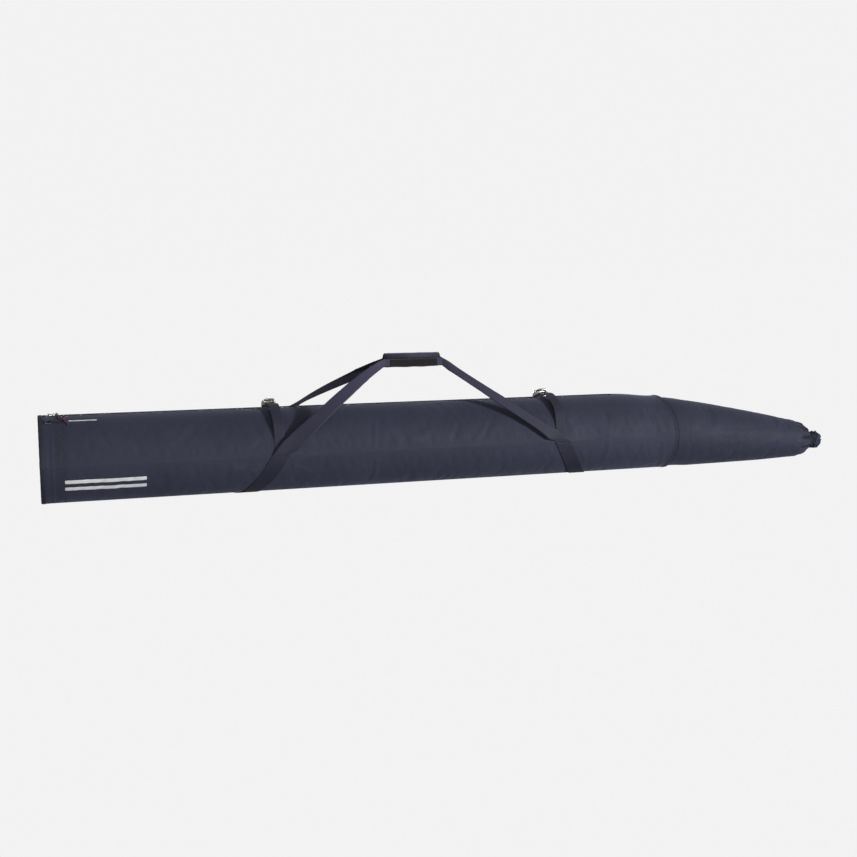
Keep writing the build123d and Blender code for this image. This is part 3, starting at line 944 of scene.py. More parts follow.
def cloth_relief(name, start_at, normals, hold, frames, pressure, slack, cap):
    """How far a slack tube of cloth moves out along its normals when it fills, from Blender's cloth."""
    nu, nv = start_at.shape[:2]
    faces, _, _ = grid_faces(nu, nv, True)
    tube = make_object(name, start_at, faces.tolist())
    group = tube.vertex_groups.new(name="hold")
    for i, w in enumerate(hold.ravel()):
        if w > 0.02:
            group.add([i], float(w), "REPLACE")
    modifier = tube.modifiers.new("cloth", "CLOTH")
    cloth = modifier.settings
    cloth.quality = 5
    cloth.mass = 0.2
    cloth.tension_stiffness = cloth.compression_stiffness = 12
    cloth.shear_stiffness = 4
    cloth.bending_stiffness = 0.35
    cloth.air_damping = 2
    cloth.use_pressure = True
    cloth.uniform_pressure_force = pressure
    cloth.effector_weights.gravity = 0
    cloth.vertex_group_mass = "hold"
    cloth.pin_stiffness = 1.0
    cloth.shrink_min = slack
    modifier.point_cache.frame_start, modifier.point_cache.frame_end = 1, frames
    scene = bpy.context.scene
    for f in range(1, frames + 1):
        scene.frame_set(f)
    shape = tube.evaluated_get(bpy.context.evaluated_depsgraph_get())
    moved = np.zeros(nu * nv * 3, np.float32)
    shape.data.vertices.foreach_get("co", moved)
    scene.frame_set(1)
    bpy.data.objects.remove(tube)
    out = ((moved.reshape(nu, nv, 3) - start_at) * normals).sum(-1)
    out = np.nan_to_num(out)
    return cap * np.tanh(out / (2.2 * cap)) * (1 - hold)


gx, gp = mesh(sim_x, sim_phi)
start_points = body_skin(gx, gp)
grip_hold = np.where(held(gx, gp) > 0.5, 1.0, held(gx, gp))
swell_grid = cloth_relief(
    "shell_sim", start_points, body_normal(gp), grip_hold, 22, 1.2, -0.014, 0.65 * mm
)
print(
    "cloth on the body:",
    round(float(swell_grid.min()) * 1000, 2),
    round(float(swell_grid.max()) * 1000, 2),
    "mm",
)


def spread_columns(length, step, fine=(0, 0.25, 0.6, 1.1, 1.8, 2.8)):
    """Distances across a panel: close together at its two edges, then evenly spaced."""
    edge = np.array(fine) * mm
    middle = np.linspace(edge[-1], length - edge[-1], max(int(length / step), 2))
    return np.concatenate([edge[:-1], middle, (length - edge[:-1])[::-1]])


def edge_roll(dist, width):
    """A quarter-round edge: how far the surface drops at this distance from the edge."""
    t = clamp(1 - dist / width)
    return 1 - np.sqrt(np.maximum(1 - t**2 * 0.98, 0))


def panel(name, x_rows, phi_from, phi_to, mirror, node):
    """One padded panel of the shell, between two angles that may change along the bag."""
    girth = (phi_to - phi_from).mean() * radius
    cols = spread_columns(girth, 4.6 * mm) / girth
    x, t = mesh(x_rows, cols)
    phi = phi_from[:, None] + (phi_to - phi_from)[:, None] * t
    phi = phi * mirror
    dist = np.minimum(t, 1 - t) * girth
    roll = edge_roll(dist, 0.7 * mm) * 0.35 * mm
    ends = to_edge(x, x_rows[0], x_rows[-1])
    outer = body_skin(x, phi, -roll - 0.2 * mm * edge_roll(ends, 2 * mm))
    inner = body_skin(x, phi, -fabric + roll)
    wrinkle = slack_height(x, phi)
    wear = (
        smooth(0.6 * mm, 2.4 * mm, wrinkle) * 0.8
        + 0.5 * fade(1.2 * mm, 3.2 * mm, dist) * smooth(0.9 * mm, 1.5 * mm, dist)
    )
    # Painted shade: darker over a band by the left end and in the hollows of the wrinkles.
    cuff = bell(x - left_end - 46 * mm, 17 * mm) + 0.6 * bell(x - left_end - 17 * mm, 2.2 * mm)
    painted_shade = 0.34 * cuff + 0.35 * smooth(0.4 * mm, 2.2 * mm, -wrinkle)
    attrs = {"wear": clamp(wear), "painted_shade": clamp(painted_shade)}
    piece = slab(name, outer, inner, x, phi * radius, mats=[navy], attrs=attrs)
    place(piece, "body", node)
    return piece


x_rows = np.concatenate(
    [
        panel_start + np.array([0, 0.5, 1.2, 2.2]) * mm,
        np.linspace(panel_start + 3.5 * mm, panel_start + 60 * mm, 26)[:-1],
        np.linspace(panel_start + 60 * mm, panel_end - 70 * mm, 340)[:-1],
        np.linspace(panel_end - 70 * mm, panel_end - 3 * mm, 34),
        panel_end - np.array([1.8, 0.9, 0]) * mm,
    ]
)
edge_open = smooth(zip_start - 6 * mm, zip_start, x_rows) * fade(zip_end, zip_end + 7 * mm, x_rows)
crest_phi = np.arcsin((0.4 * mm + (slot - 0.4 * mm) * edge_open) / radius)
gap_phi = 0.06 * mm / radius
upper_to = np.full_like(x_rows, seam - gap_phi)
panel("upper_front_panel", x_rows, crest_phi, upper_to, 1, "top_front_panel")
panel("upper_back_panel", x_rows, crest_phi, upper_to, -1, "top_back_panel")
panel("belly_panel", x_rows, upper_to + 2 * gap_phi, tau - upper_to - 2 * gap_phi, 1, "base_panel")


def skin_line(xs, phis, lift=0.0, rumpled=True):
    """A line on the body's outside with its normals."""
    xs, phis = np.broadcast_arrays(np.asarray(xs, float), np.asarray(phis, float))
    return body_skin(xs, phis, lift, rumpled), body_normal(phis)


def sewn(name, lines, body):
    """Several rows of stitches as one piece."""
    made = [stitches(f"{name}_{i}", p, n) for i, (p, n) in enumerate(lines)]
    piece = join(name, made)
    if body:
        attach(piece, body)
    return piece


zip_x = np.linspace(zip_start + 2 * mm, zip_end + 2 * mm, 420)
rows = []
for side in (1, -1):
    rows.append(skin_line(zip_x, side * math.asin((slot + 2.2 * mm) / radius)))
    rows.append(skin_line(zip_x, side * math.asin((slot + 7.5 * mm) / radius)))
rows.append(skin_line(panel_start + 49.5 * mm, np.linspace(16 * deg, 344 * deg, 160)))
sewn("shell_topstitching", rows, "body")


# ------------------------------------------------------------------ rings: binding, hem, stop band
def ring_sweep(name, profile, section, count, mats, ripple=None, **more):
    """A closed profile of (x, lift) points swept round a section function(x, phi, lift)."""
    phi = circle(count + 1)
    prof = np.asarray(profile, float)
    girth = path_length(np.concatenate([prof, prof[:1]]))
    x, p = np.meshgrid(prof[:, 0], phi[:-1], indexing="xy")
    lift = np.repeat(prof[None, :, 1], count, 0)
    if ripple is not None:
        x, lift = ripple(x, lift, p)
    pts = section(x, p, lift)
    u, v = mesh(phi * radius, girth)
    return loft(name, pts, u, v, close_u=True, mats=mats, **more)


def round_corner(cx, cy, r, a0, a1, n=5):
    """Points of an arc in the (x, lift) plane."""
    a = np.linspace(a0, a1, n) * deg
    return [(cx + r * math.cos(t), cy + r * math.sin(t)) for t in a]


def end_binding():
    """Grosgrain tape folded over the corner between the body and its end panel."""
    x0, x1 = left_end, left_end + 10 * mm
    t = 0.9 * mm
    outer = round_corner(x1 - 0.45 * mm, 0.35 * mm, 0.45 * mm, -80, 90, 4)
    outer += round_corner(x0 + 2.6 * mm, -1.8 * mm, 2.6 * mm, 90, 180, 6)
    outer += round_corner(x0 + 0.45 * mm, -6.0 * mm, 0.45 * mm, 180, 300, 4)
    inner = [
        (x0 + t, -5.2 * mm),
        (x0 + t, -3.4 * mm),
        (x0 + t + 1.2 * mm, -1.6 * mm),
        (x0 + 4.4 * mm, -0.15 * mm),
    ]
    profile = np.array(outer + inner)[::-1]

    def ripple(x, lift, p):
        wave = 0.16 * mm * np.cos(p * 96) + 0.2 * mm * np.cos(p * 31 + 1)
        return x + wave * 0.4, lift + wave * (lift > -1 * mm)

    piece = ring_sweep(
        "end_binding_tape", profile, lambda x, p, h: body_skin(x, p, h, False), 300, [binding_mat], ripple
    )
    place(piece, "body", "end_binding")
    line = circle(260)
    sewn("end_binding_stitches", [skin_line(x1 - 2.2 * mm, line, 1.0 * mm)], "body")


def end_panel():
    """The round end: a padded disc that domes a little between its bound edges."""
    lo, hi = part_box("end_panel")
    phi = circle(181)
    share = np.concatenate([[0.012], np.linspace(0.05, 0.93, 26), [0.955, 0.975, 0.99, 1.0]])
    s, p = mesh(share, phi[:-1])
    _, r, centre = body_outline(np.full_like(p, left_end))
    reach = (ray_reach(p, r, centre, floor_gap) - 3.2 * mm) * s
    y, z = -reach * np.sin(p), centre + reach * np.cos(p)
    dome = 1.6 * mm * (1 - s**2) + 0.5 * mm * field(y, z, rumple_mid) * (1 - s**4)
    dome += 0.35 * mm * np.cos(p * 38 + 2 * field(y * 0.3, z, rumple_mid)) * smooth(0.72, 0.97, s)
    dome -= 0.45 * mm * bell(s - 0.9, 0.008)
    roll = edge_roll((1 - s) * radius, 1.6 * mm) * 1.1 * mm
    outer = points(lo.x + 0.2 * mm - dome + roll, y, z)
    inner = points(hi.x - 0.35 * dome - roll, y, z)
    ring_u = np.concatenate([y, y[:, :1]], 1)
    ring_v = np.concatenate([z, z[:, :1]], 1)
    # Painted shade: the whole disc a little darker, and darker still towards its bound rim.
    painted_shade = clamp(0.35 + 0.5 * smooth(0.9, 1.0, s))
    piece = slab(
        "end_disc",
        outer,
        inner,
        ring_u,
        ring_v,
        wrap=True,
        mats=[navy],
        attrs={"wear": smooth(0.2, 1.5, dome / mm) * 0.2, "painted_shade": painted_shade},
    )
    with editing(piece.data) as bm:
        bmesh.ops.remove_doubles(bm, verts=bm.verts, dist=0.05 * mm)
        rims = [e for e in bm.edges if e.is_boundary]
        if rims:
            bmesh.ops.holes_fill(bm, edges=rims)
    place(piece, "body", "end_panel")
    p = circle(220)
    _, r, centre = body_outline(np.full_like(p, left_end))
    reach = (ray_reach(p, r, centre, floor_gap) - 3.2 * mm) * 0.87
    line = at_angle(lo.x - 0.35 * mm, reach, p, centre)
    sewn("end_disc_stitches", [(line, np.tile([-1.0, 0, 0], (220, 1)))], "body")


def mouth_hem():
    """The body's mouth: a tape folded over a gathered elastic."""
    x1 = mouth
    x0 = mouth - 12 * mm
    outer = round_corner(x1 - 1.5 * mm, -0.5 * mm, 1.45 * mm, 0, 90, 6)
    outer += [(x1 - 3.6 * mm, 1.0 * mm), (x1 - 6.5 * mm, 0.8 * mm), (x0 + 3 * mm, 0.25 * mm)]
    outer += round_corner(x0 + 0.5 * mm, -0.45 * mm, 0.45 * mm, 90, 230, 4)
    outer += [
        (x1 - 4.6 * mm, 0.12 * mm),
        (x1 - 3.7 * mm, -0.6 * mm),
        (x1 - 4.0 * mm, -1.75 * mm),
        (x1 - 2.0 * mm, -1.85 * mm),
    ]
    outer += round_corner(x1 - 1.1 * mm, -0.95 * mm, 1.05 * mm, -90, -20, 4)
    profile = np.array(outer)

    def ripple(x, lift, p):
        drift = field(p * 0.04, p * radius * 0.4, rumple_mid)
        wave = 0.30 * mm * np.cos(p * 47 + 3 * drift) + 0.16 * mm * np.cos(p * 101 + 5 * drift)
        return x + 0.5 * wave, lift + wave * 0.8 * (lift > 0.2 * mm)

    def on_mouth(x, p, h):
        return (
            body_skin(np.minimum(x, panel_end), p, h, False)
            + points(np.maximum(x - panel_end, 0), 0.0, 0.0)
        )

    # Painted shadow: the hem's inner lip is darkened, as the gap between hem and nose would be in shade.
    dark = np.repeat(smooth(x1 - 4.6 * mm, x1 - 2.4 * mm, profile[:, 0])[None], 560, 0)
    piece = ring_sweep("mouth_hem_tape", profile, on_mouth, 560, [hem_mat], ripple, attrs={"painted_shade": dark})
    place(piece, "body", "mouth_hem")
    line = circle(260)
    sewn("mouth_hem_stitches", [skin_line(x0 + 2.2 * mm, line, 1.35 * mm)], "body")


end_binding()
end_panel()
mouth_hem()


# ------------------------------------------------------------------ zip
def zip_tapes():
    """Woven tapes with a rolled inner edge, just under the lips of the slot."""
    for name, side in (("front", -1), ("back", 1)):
        lo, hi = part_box("zip_tape_" + name)
        near, far = min(abs(lo.y), abs(hi.y)), max(abs(lo.y), abs(hi.y))
        y = near + spread_columns(far - near, 2.4 * mm, (0, 0.2, 0.5))
        x = np.linspace(lo.x, hi.x, 260)
        gx, gy = mesh(x, y)
        r = radius - fabric - 0.15 * mm
        roll = edge_roll(to_edge(gy, near, far), 0.5 * mm) * 0.45 * mm
        wave = 0.06 * mm * np.sin(gx / (9 * mm)) + 0.22 * mm * bell(gy - near - 3.4 * mm, 0.5 * mm)
        z = axis_z + np.sqrt(r**2 - gy**2) - roll + wave * 0.6
        outer = points(gx, side * gy, z)
        inner = points(gx, side * gy, z - 0.9 * mm + 2 * roll)
        edge = fade(0.3 * mm, 1.2 * mm, gy - near)
        piece = slab(f"zip_tape_{name}_weave", outer, inner, gx, gy, mats=[tape_mat], attrs={"edge": edge})
        place(piece, "body", "zip_tape_" + name)


def zip_coils():
    """Each coil is a row of nylon loops whose heads lock across the middle."""
    steps, sides = 12, 5
    pitch = 2.2 * mm
    wire = 0.42 * mm
    a = np.arange(steps) * tau / steps
    ring = np.arange(sides) * tau / sides
    for name, side in (("front", -1), ("back", 1)):
        lo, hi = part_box("zip_coil_" + name)
        z0, half_z = (lo.z + hi.z) / 2, (hi.z - lo.z) / 2 - wire
        y_in, y_out = -0.55 * mm, 4.4 * mm
        cy, half_y = (y_in + y_out) / 2 + wire / 2, (y_out - y_in) / 2 - wire / 2
        path = points(
            0.30 * pitch * np.sin(a),
            side * (cy + half_y * np.cos(a)),
            half_z * np.sin(a) * (1 + 0.25 * (np.cos(a) < -0.5)),
        )
        tangent = unit(np.roll(path, -1, 0) - np.roll(path, 1, 0))
        out = np.cross(tangent, [1.0, 0, 0])
        other = np.cross(tangent, out)
        head = 1 + 0.35 * smooth(0.5, 1.0, -np.cos(a))
        tooth = (
            path[:, None]
            + wire * head[:, None, None] * (
                np.cos(ring)[None, :, None] * out[:, None] + np.sin(ring)[None, :, None] * other[:, None]
            )
        )
        at = np.arange(lo.x + 1.5 * mm, hi.x - 1.2 * mm, pitch) + (0 if side < 0 else pitch / 2)
        verts = tooth[None] + points(at, 0.0, z0)[:, None, None]
        base, _, _ = grid_faces(steps + 1, sides, True)
        base = base % (steps * sides)
        faces = (base[None] + (np.arange(len(at)) * steps * sides)[:, None, None]).reshape(-1, 4)
        zeros = np.zeros((len(faces), 4, 2))
        coil = make_object(f"coil_{name}_loops", verts, faces.tolist(), zeros, mats=[coil_mat])
        y_core = side * 2.9 * mm
        xs = np.linspace(lo.x + 0.5 * mm, hi.x - 0.5 * mm, 500)
        line = points(xs, y_core, z0 + 0.12 * mm * np.sin(xs / pitch * math.pi))
        cord = round_tube(f"coil_{name}_filler", line, 0.75 * mm, 8, [tape_mat])
        piece = join(f"zip_coil_{name}_teeth", [coil, cord])
        place(piece, "body", "zip_coil_" + name)


def round_tube(name, line, r, sides, mats, ripple=None, closed=False):
    """A round cord along a line of points. ripple(s, angle) adds to its radius."""
    line = np.asarray(line, float)
    tangent = unit(np.gradient(line, axis=0)) if not closed else unit(
        np.roll(line, -1, 0) - np.roll(line, 1, 0)
    )
    normal = np.zeros_like(line)
    first = np.array((0.13, 0.31, 0.94))
    for i, t in enumerate(tangent):
        first = first - t * first.dot(t)
        first = first / np.linalg.norm(first)
        normal[i] = first
    other = np.cross(tangent, normal)
    s = path_length(line)
    a = circle(sides + 1)
    size = np.full((len(line), sides), float(r)) if np.isscalar(r) else np.repeat(
        np.asarray(r, float)[:, None], sides, 1
    )
    if ripple is not None:
        size = size + ripple(s[:, None], a[None, :-1])
    rings = (
        line[:, None]
        + size[..., None] * (
            np.cos(a[:-1])[None, :, None] * normal[:, None] + np.sin(a[:-1])[None, :, None] * other[:, None]
        )
    )
    if closed:
        s = np.concatenate([s, [s[-1] + np.linalg.norm(line[-1] - line[0])]])
    u, v = mesh(s, a * float(np.mean(r)))
    return loft(name, rings, u, v, close_u=closed, mats=mats)


def refined(node, name, body, mat, bevel=0.35 * mm, segments=3, angle=28):
    """A copy of a CAD node with worn, rounded edges and its own metal or webbing finish."""
    source = frame["nodes"][node]
    mesh = source.data.copy()
    mesh.name = name
    mesh.materials.clear()
    mesh.materials.append(mat)
    piece = link(bpy.data.objects.new(name, mesh))
    with editing(mesh) as bm:
        bmesh.ops.remove_doubles(bm, verts=bm.verts, dist=0.002 * mm)
        bmesh.ops.dissolve_limit(bm, angle_limit=1.5 * deg, verts=bm.verts, edges=bm.edges)
    rounding = piece.modifiers.new("edges", "BEVEL")
    rounding.width = bevel
    rounding.segments = segments
    rounding.limit_method = "ANGLE"
    rounding.angle_limit = angle * deg
    rounding.harden_normals = False
    rounding.use_clamp_overlap = True
    with bpy.context.temp_override(object=piece, active_object=piece):
        bpy.ops.object.modifier_apply(modifier="edges")
    if "cloth" not in mesh.uv_layers:
        box_map(piece.data)
    piece.data.shade_smooth()
    piece.data.set_sharp_from_angle(angle=35 * deg)
    place(piece, body, node)
    return piece


def box_map(mesh):
    """A metric map from each face's own direction."""
    layer = mesh.uv_layers.new(name="cloth")
    for p in mesh.polygons:
        drop = max(range(3), key=lambda k: abs(p.normal[k]))
        keep = [k for k in range(3) if k != drop]
        for li in p.loop_indices:
            co = mesh.vertices[mesh.loops[li].vertex_index].co
            layer.data[li].uv = (co[keep[0]], co[keep[1]])


zip_tapes()
zip_coils()
refined("zip_stops", "zip_end_stops", "body", zip_metal, 0.4 * mm)
refined("zip_slider", "zip_slider_body", "slider", zip_metal, 0.5 * mm)
refined("zip_pull_tab", "zip_tab", "pull", zip_metal, 0.35 * mm)


# ------------------------------------------------------------------ the puller's cord
def around(angle, lift, x):
    """The point this far (in metres) above the round body, angle degrees from the crest."""
    reach = radius + lift
    return (x, -reach * math.sin(angle * deg), axis_z + reach * math.cos(angle * deg))


def puller_cord():
    """One limp cord through the tab's eye, with its two tails crossed on the front."""
    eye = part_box("zip_pull_tab")[1].x - 4.3 * mm
    lift = 2.8 * mm
    route = [
        around(34, lift, -0.984),
        around(28.5, lift, -0.9885),
        around(23, lift, -0.993),
        around(17.5, lift, -0.9975),
        around(12, lift, -1.001),
        (eye + 1.5 * mm, -14.8 * mm, 202.4 * mm),
        (eye - 0.4 * mm, -7.2 * mm, 200.6 * mm),
        (eye, 0.35 * mm, 200.4 * mm),
        (eye, 0.45 * mm, 205.7 * mm),
        (eye - 0.4 * mm, -7.5 * mm, 205.6 * mm),
        (eye - 2.5 * mm, -15 * mm, 204.4 * mm),
        around(13.5, lift + 0.6 * mm, -1.0065),
        around(19, lift, -1.0025),
        around(23.5, lift + 2.2 * mm, -0.9975),
        around(23, lift + 4.4 * mm, -0.992),
        around(18, lift + 2.2 * mm, -0.987),
        around(12, lift, -0.984),
    ]
    curve = bpy.data.curves.new("puller_line", "CURVE")
    curve.dimensions = "3D"
    curve.resolution_u = 16
    spline = curve.splines.new("NURBS")
    spline.points.add(len(route) - 1)
    for point, co in zip(spline.points, route):
        point.co = (*co, 1.0)
    spline.order_u = 3
    spline.use_endpoint_u = True
    line_object = link(bpy.data.objects.new("puller_line", curve))
    line_mesh = bpy.data.meshes.new_from_object(
        line_object.evaluated_get(bpy.context.evaluated_depsgraph_get())
    )
    line = np.array([v.co for v in line_mesh.vertices])
    bpy.data.objects.remove(line_object)
    (line,) = resample(line, 0.35 * mm)
    length = path_length(line)[-1]
    thick = 1.56 * mm
    ends = np.minimum(path_length(line), length - path_length(line))
    size = thick * (0.55 + 0.45 * np.sqrt(clamp(ends / (0.9 * mm))))

    def braid(s, a):
        over = np.abs(np.sin(3 * a + s / (0.62 * mm))) + np.abs(np.sin(3 * a - s / (0.62 * mm)))
        return 0.10 * mm * (over - 1.1)

    cord = round_tube("puller_cord", line, size, 18, [puller_mat], braid)
    place(cord, "pull", "zip_puller_cord")


puller_cord()
refined("lock_ring", "lock_wire_ring", "lock_ring", zip_metal, 0.1 * mm, 2, 60)
refined("lock_tab", "lock_webbing_tab", "body", tape_mat, 0.3 * mm)


# ------------------------------------------------------------------ sewn bands under the bag
def web_band(name, root, lean):
    """Wide webbing round the belly, from the front seam to the back one, in a V towards its middle."""
    slant = math.tan(band_angle)
    span = 44 * mm
    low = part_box("band_" + name)[0]
    half_turn = np.concatenate([np.linspace(90.4, 150, 44), np.linspace(151, 180, 26)]) * deg
    phi = np.concatenate([half_turn, tau - half_turn[-2::-1]])
    run = radius * (off_crest(phi) - half_turn[0])
    run = (
        np.minimum(run, radius * (156.2 * deg - half_turn[0]))
        + np.maximum(run - radius * (156.2 * deg - half_turn[0]), 0) * 0.93
    )
    cols = np.concatenate([[0, 0.012, 0.035, 0.07], np.linspace(0.11, 0.89, 20), [0.93, 0.965, 0.988, 1.0]])
    p, c = mesh(phi, cols)
    x = root + lean * slant * run[:, None] + (c - 0.5) * span
    edge = np.minimum(c, 1 - c) * web_width
    roll = edge_roll(edge, 0.9 * mm) * 0.7 * mm
    ribs = 0.10 * mm * np.cos(c * 18 * tau) * (edge > 1.2 * mm)
    _, r, centre = body_outline(x)
    reach = ray_reach(p, r, centre, floor_gap)
    a = off_crest(p)
    bottom = smooth(146 * deg, 158 * deg, a)
    base = reach + crease(p, x) * (1 - bottom)
    top = base + 1.62 * mm - roll + ribs * (1 - bottom)
    under = base + 0.12 * mm + roll * 0.6

    def point(q):
        z = centre + q * np.cos(p)
        return points(x, -q * np.sin(p), np.maximum(z, low.z + 0.02 * mm))

    u = np.repeat(run[:, None] / math.cos(band_angle), len(cols), 1)
    piece = slab(
        "sewn_band_" + name,
        point(top),
        point(under),
        u,
        c * web_width,
        mats=[band_mat],
        attrs={"edge": fade(0.6 * mm, 2.2 * mm, edge)},
    )
    place(piece, "body", "band_" + name)
    rows = []
    shown = phi < 148 * deg
    for inset in (0.085, 0.915):
        xs = root + lean * slant * run + (inset - 0.5) * span
        rows.append(skin_line(xs[shown], phi[shown], 1.75 * mm, False))
    for turn in (92.2 * deg, 94.8 * deg):
        for mirror in (1, -1):
            xs = np.linspace(root - 0.46 * span, root + 0.46 * span, 24)
            at = turn if mirror > 0 else tau - turn
            rows.append(skin_line(xs, at, 1.75 * mm, False))
    sewn(f"sewn_band_{name}_stitches", rows, "body")


for band_name, band_lean in (("left", -1), ("right", 1)):
    web_band(band_name, root_x[band_name], band_lean)


# ------------------------------------------------------------------ compression straps
def strap_line(stations):
    """A smooth line through (angle, height of the underside) stations, with its normals."""
    angle = np.array([a for a, _ in stations], float) * deg
    height = np.array([h for _, h in stations], float) * mm
    s = np.concatenate([[0], np.cumsum(np.abs(np.diff(angle)))]) * radius
    at = np.arange(0, s[-1], 1.6 * mm)
    a = np.interp(at, s, angle)
    h = np.interp(at, s, height)
    return a, softened(h, 9)


def strap(name, x, stations, node, bow=0.0, tail=False):
    """A narrow strap that follows the stations round the body at x."""
    a, h = strap_line(stations)
    reach = radius + h + 0.75 * mm
    sway = 0.0006 * np.sin(a * 7 + x * 11) + bow * np.sin(clamp((a - a[-1]) / (a[0] - a[-1])) * math.pi)
    centre = at_angle(x + sway, reach, a, axis_z)
    tangent = unit(np.gradient(centre, axis=0))
    across = np.tile([1.0, 0, 0], (len(a), 1))
    across = unit(across - tangent * (across * tangent).sum(1, keepdims=True))
    normal = unit(np.cross(tangent, across))
    normal = normal * np.sign((normal * body_normal(a)).sum(1, keepdims=True))
    profile = web_profile(12.5 * mm, 1.5 * mm, 34, 11, 0.10 * mm)
    taper = np.ones(len(a))
    if tail:
        taper[-4:] = (0.98, 0.93, 0.84, 0.7)
    profiles = profile[None] * points(taper, np.ones(len(a)))[:, None]
    piece = webbing_strip(name, centre, across, normal, profiles, mats=[strap_mat])
    place(piece, "body", node)
    return centre, across, normal


def sewn_box(centre, across, normal, first, last, half, lift):
    """Lines of a box with a cross in it, on webbing between two stations."""
    def spot(t, w):
        i = first + (last - first) * t
        lo = int(math.floor(i))
        hi = min(lo + 1, len(centre) - 1)
        f = i - lo
        c = centre[lo] * (1 - f) + centre[hi] * f
        a = across[lo] * (1 - f) + across[hi] * f
        n = normal[lo] * (1 - f) + normal[hi] * f
        return c + a * w * half + n * lift, n

    def run(a, b):
        got = [spot(a[0] + (b[0] - a[0]) * t, a[1] + (b[1] - a[1]) * t) for t in np.linspace(0, 1, 14)]
        return np.array([g[0] for g in got]), np.array([g[1] for g in got])

    box = [(0, -1), (0, 1), (1, 1), (1, -1)]
    lines = [run(box[i], box[(i + 1) % 4]) for i in range(4)]
    return lines + [run(box[0], box[2]), run(box[1], box[3])]


def straps():
    edge_angle = 9.0
    buckle_r = 109.5
    buckle_edge = buckle_r / math.cos(edge_angle * deg) - 103
    plate = buckle_r - 3.3
    for name, x in strap_x.items():
        front = [(a, 0.2 + 9.4 * float(smooth(42, 72, 114 - a))) for a in np.arange(88, 7, -2.5)]
        front += [
            (0, 8.4),
            (-18 + edge_angle, buckle_edge),
            (-18 - edge_angle, buckle_edge),
            (-35.5, 5.0),
            (-44, 2.3),
            (-50, 2.15),
            (-56, 2.25),
        ]
        back = [(a, 0.2) for a in range(-88, -42, 5)]
        back += [
            (-34.5, 2.0), (-27, plate / math.cos(9 * deg) - 103), (-12, plate / math.cos(6 * deg) - 103)
        ]
        c, a, n = strap(f"strap_{name}_over_crest", x, front, f"strap_{name}_front", 0.0012, True)
        lines = sewn_box(c, a, n, 1, 9, 10 * mm, 0.85 * mm)
        far = len(c) - 3
        lines += sewn_box(c, a, n, far - 5, far - 1, 9 * mm, 0.85 * mm)[:4]
        c, a, n = strap(f"strap_{name}_behind", x, back, f"strap_{name}_back")
        lines += sewn_box(c, a, n, 1, 9, 10 * mm, 0.85 * mm)
        lines += sewn_box(c, a, n, len(c) - 22, len(c) - 18, 10 * mm, 0.85 * mm)[:4]
        sewn(f"strap_{name}_stitches", lines, "body")


straps()


# ------------------------------------------------------------------ buckles
def buckle(name):
    """A cam buckle: frame and lever with rounded edges, teeth, a headed pin and a wound spring."""
    refined(
        f"buckle_{name}_frame", f"buckle_{name}_channel", "body", buckle_metal, 0.45 * mm
    )
    lever = refined(
        f"buckle_{name}_lever",
        f"buckle_{name}_cam",
        f"{name}_lever",
        buckle_metal,
        0.45 * mm,
    )
    refined(f"buckle_{name}_pin", f"buckle_{name}_axle", "body", buckle_metal, 0.5 * mm)
    lo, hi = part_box(f"buckle_{name}_spring")
    centre = np.array((lo + hi) / 2)
    half = (hi.x - lo.x) / 2 - 0.5 * mm
    turns = 7
    a = np.linspace(0, turns * tau, turns * 14)
    r = 2.72 * mm
    line = points(
        centre[0] - half + 2 * half * a / a[-1], centre[1] + r * np.cos(a), centre[2] + r * np.sin(a)
    )
    spring = round_tube(f"buckle_{name}_wound_spring", line, 0.46 * mm, 8, [spring_metal])
    place(spring, "body", f"buckle_{name}_spring")
    return lever


for side_name in ("left", "right"):
    buckle(side_name)


# ------------------------------------------------------------------ carry handle
front_grip = np.array([0, -9.2, 299.5]) * mm
back_grip = np.array([0, 3.8, 301]) * mm
pivot_y = radius + 3.1 * mm


def bezier(points, t):
    a, b, c, d = (np.asarray(p, float) for p in points)
    t = np.asarray(t)[:, None]
    return a * (1 - t) ** 3 + 3 * b * t * (1 - t) ** 2 + 3 * c * t**2 * (1 - t) + d * t**3


def folded_outline(width, full, thick, behind):
    """The outline of webbing whose two edges are turned in behind it until only width shows."""
    half = np.linspace(-1, 1, 30)
    s = np.abs(half) * full / 2
    turn_r = 0.75 * thick
    theta = math.pi * float(smooth(0, 3 * mm, (full - width) / 2))
    straight = width / 2 - turn_r * math.sin(min(theta, math.pi / 2))
    heading = np.clip((s - straight) / turn_r, 0, theta)
    rest = np.maximum(s - straight - turn_r * theta, 0)
    across = np.minimum(s, straight) + turn_r * np.sin(heading) + rest * math.cos(theta)
    away = turn_r * (1 - np.cos(heading)) + rest * math.sin(theta)
    line = np.stack([across * np.sign(half), away * behind], 1)
    normal = np.stack([np.sin(heading) * np.sign(half), -np.cos(heading) * behind], 1)
    ribs = 0.10 * mm * (0.5 - 0.5 * np.cos((half + 1) * math.pi * 12)) * (np.abs(half) < 0.95)
    size = np.maximum((thick / 2) * (1 - np.abs(half) ** 10) ** 0.5 - ribs, 0.12 * thick)[:, None]
    outline = np.concatenate([line + normal * size, (line - normal * size)[::-1]])
    return outline - np.array([0, line[:, 1].mean()])


def evenly(values, t):
    """A smooth run through values given at even steps of t."""
    run = np.interp(t, np.linspace(0, 1, len(values)), values)
    return softened(run, 19)


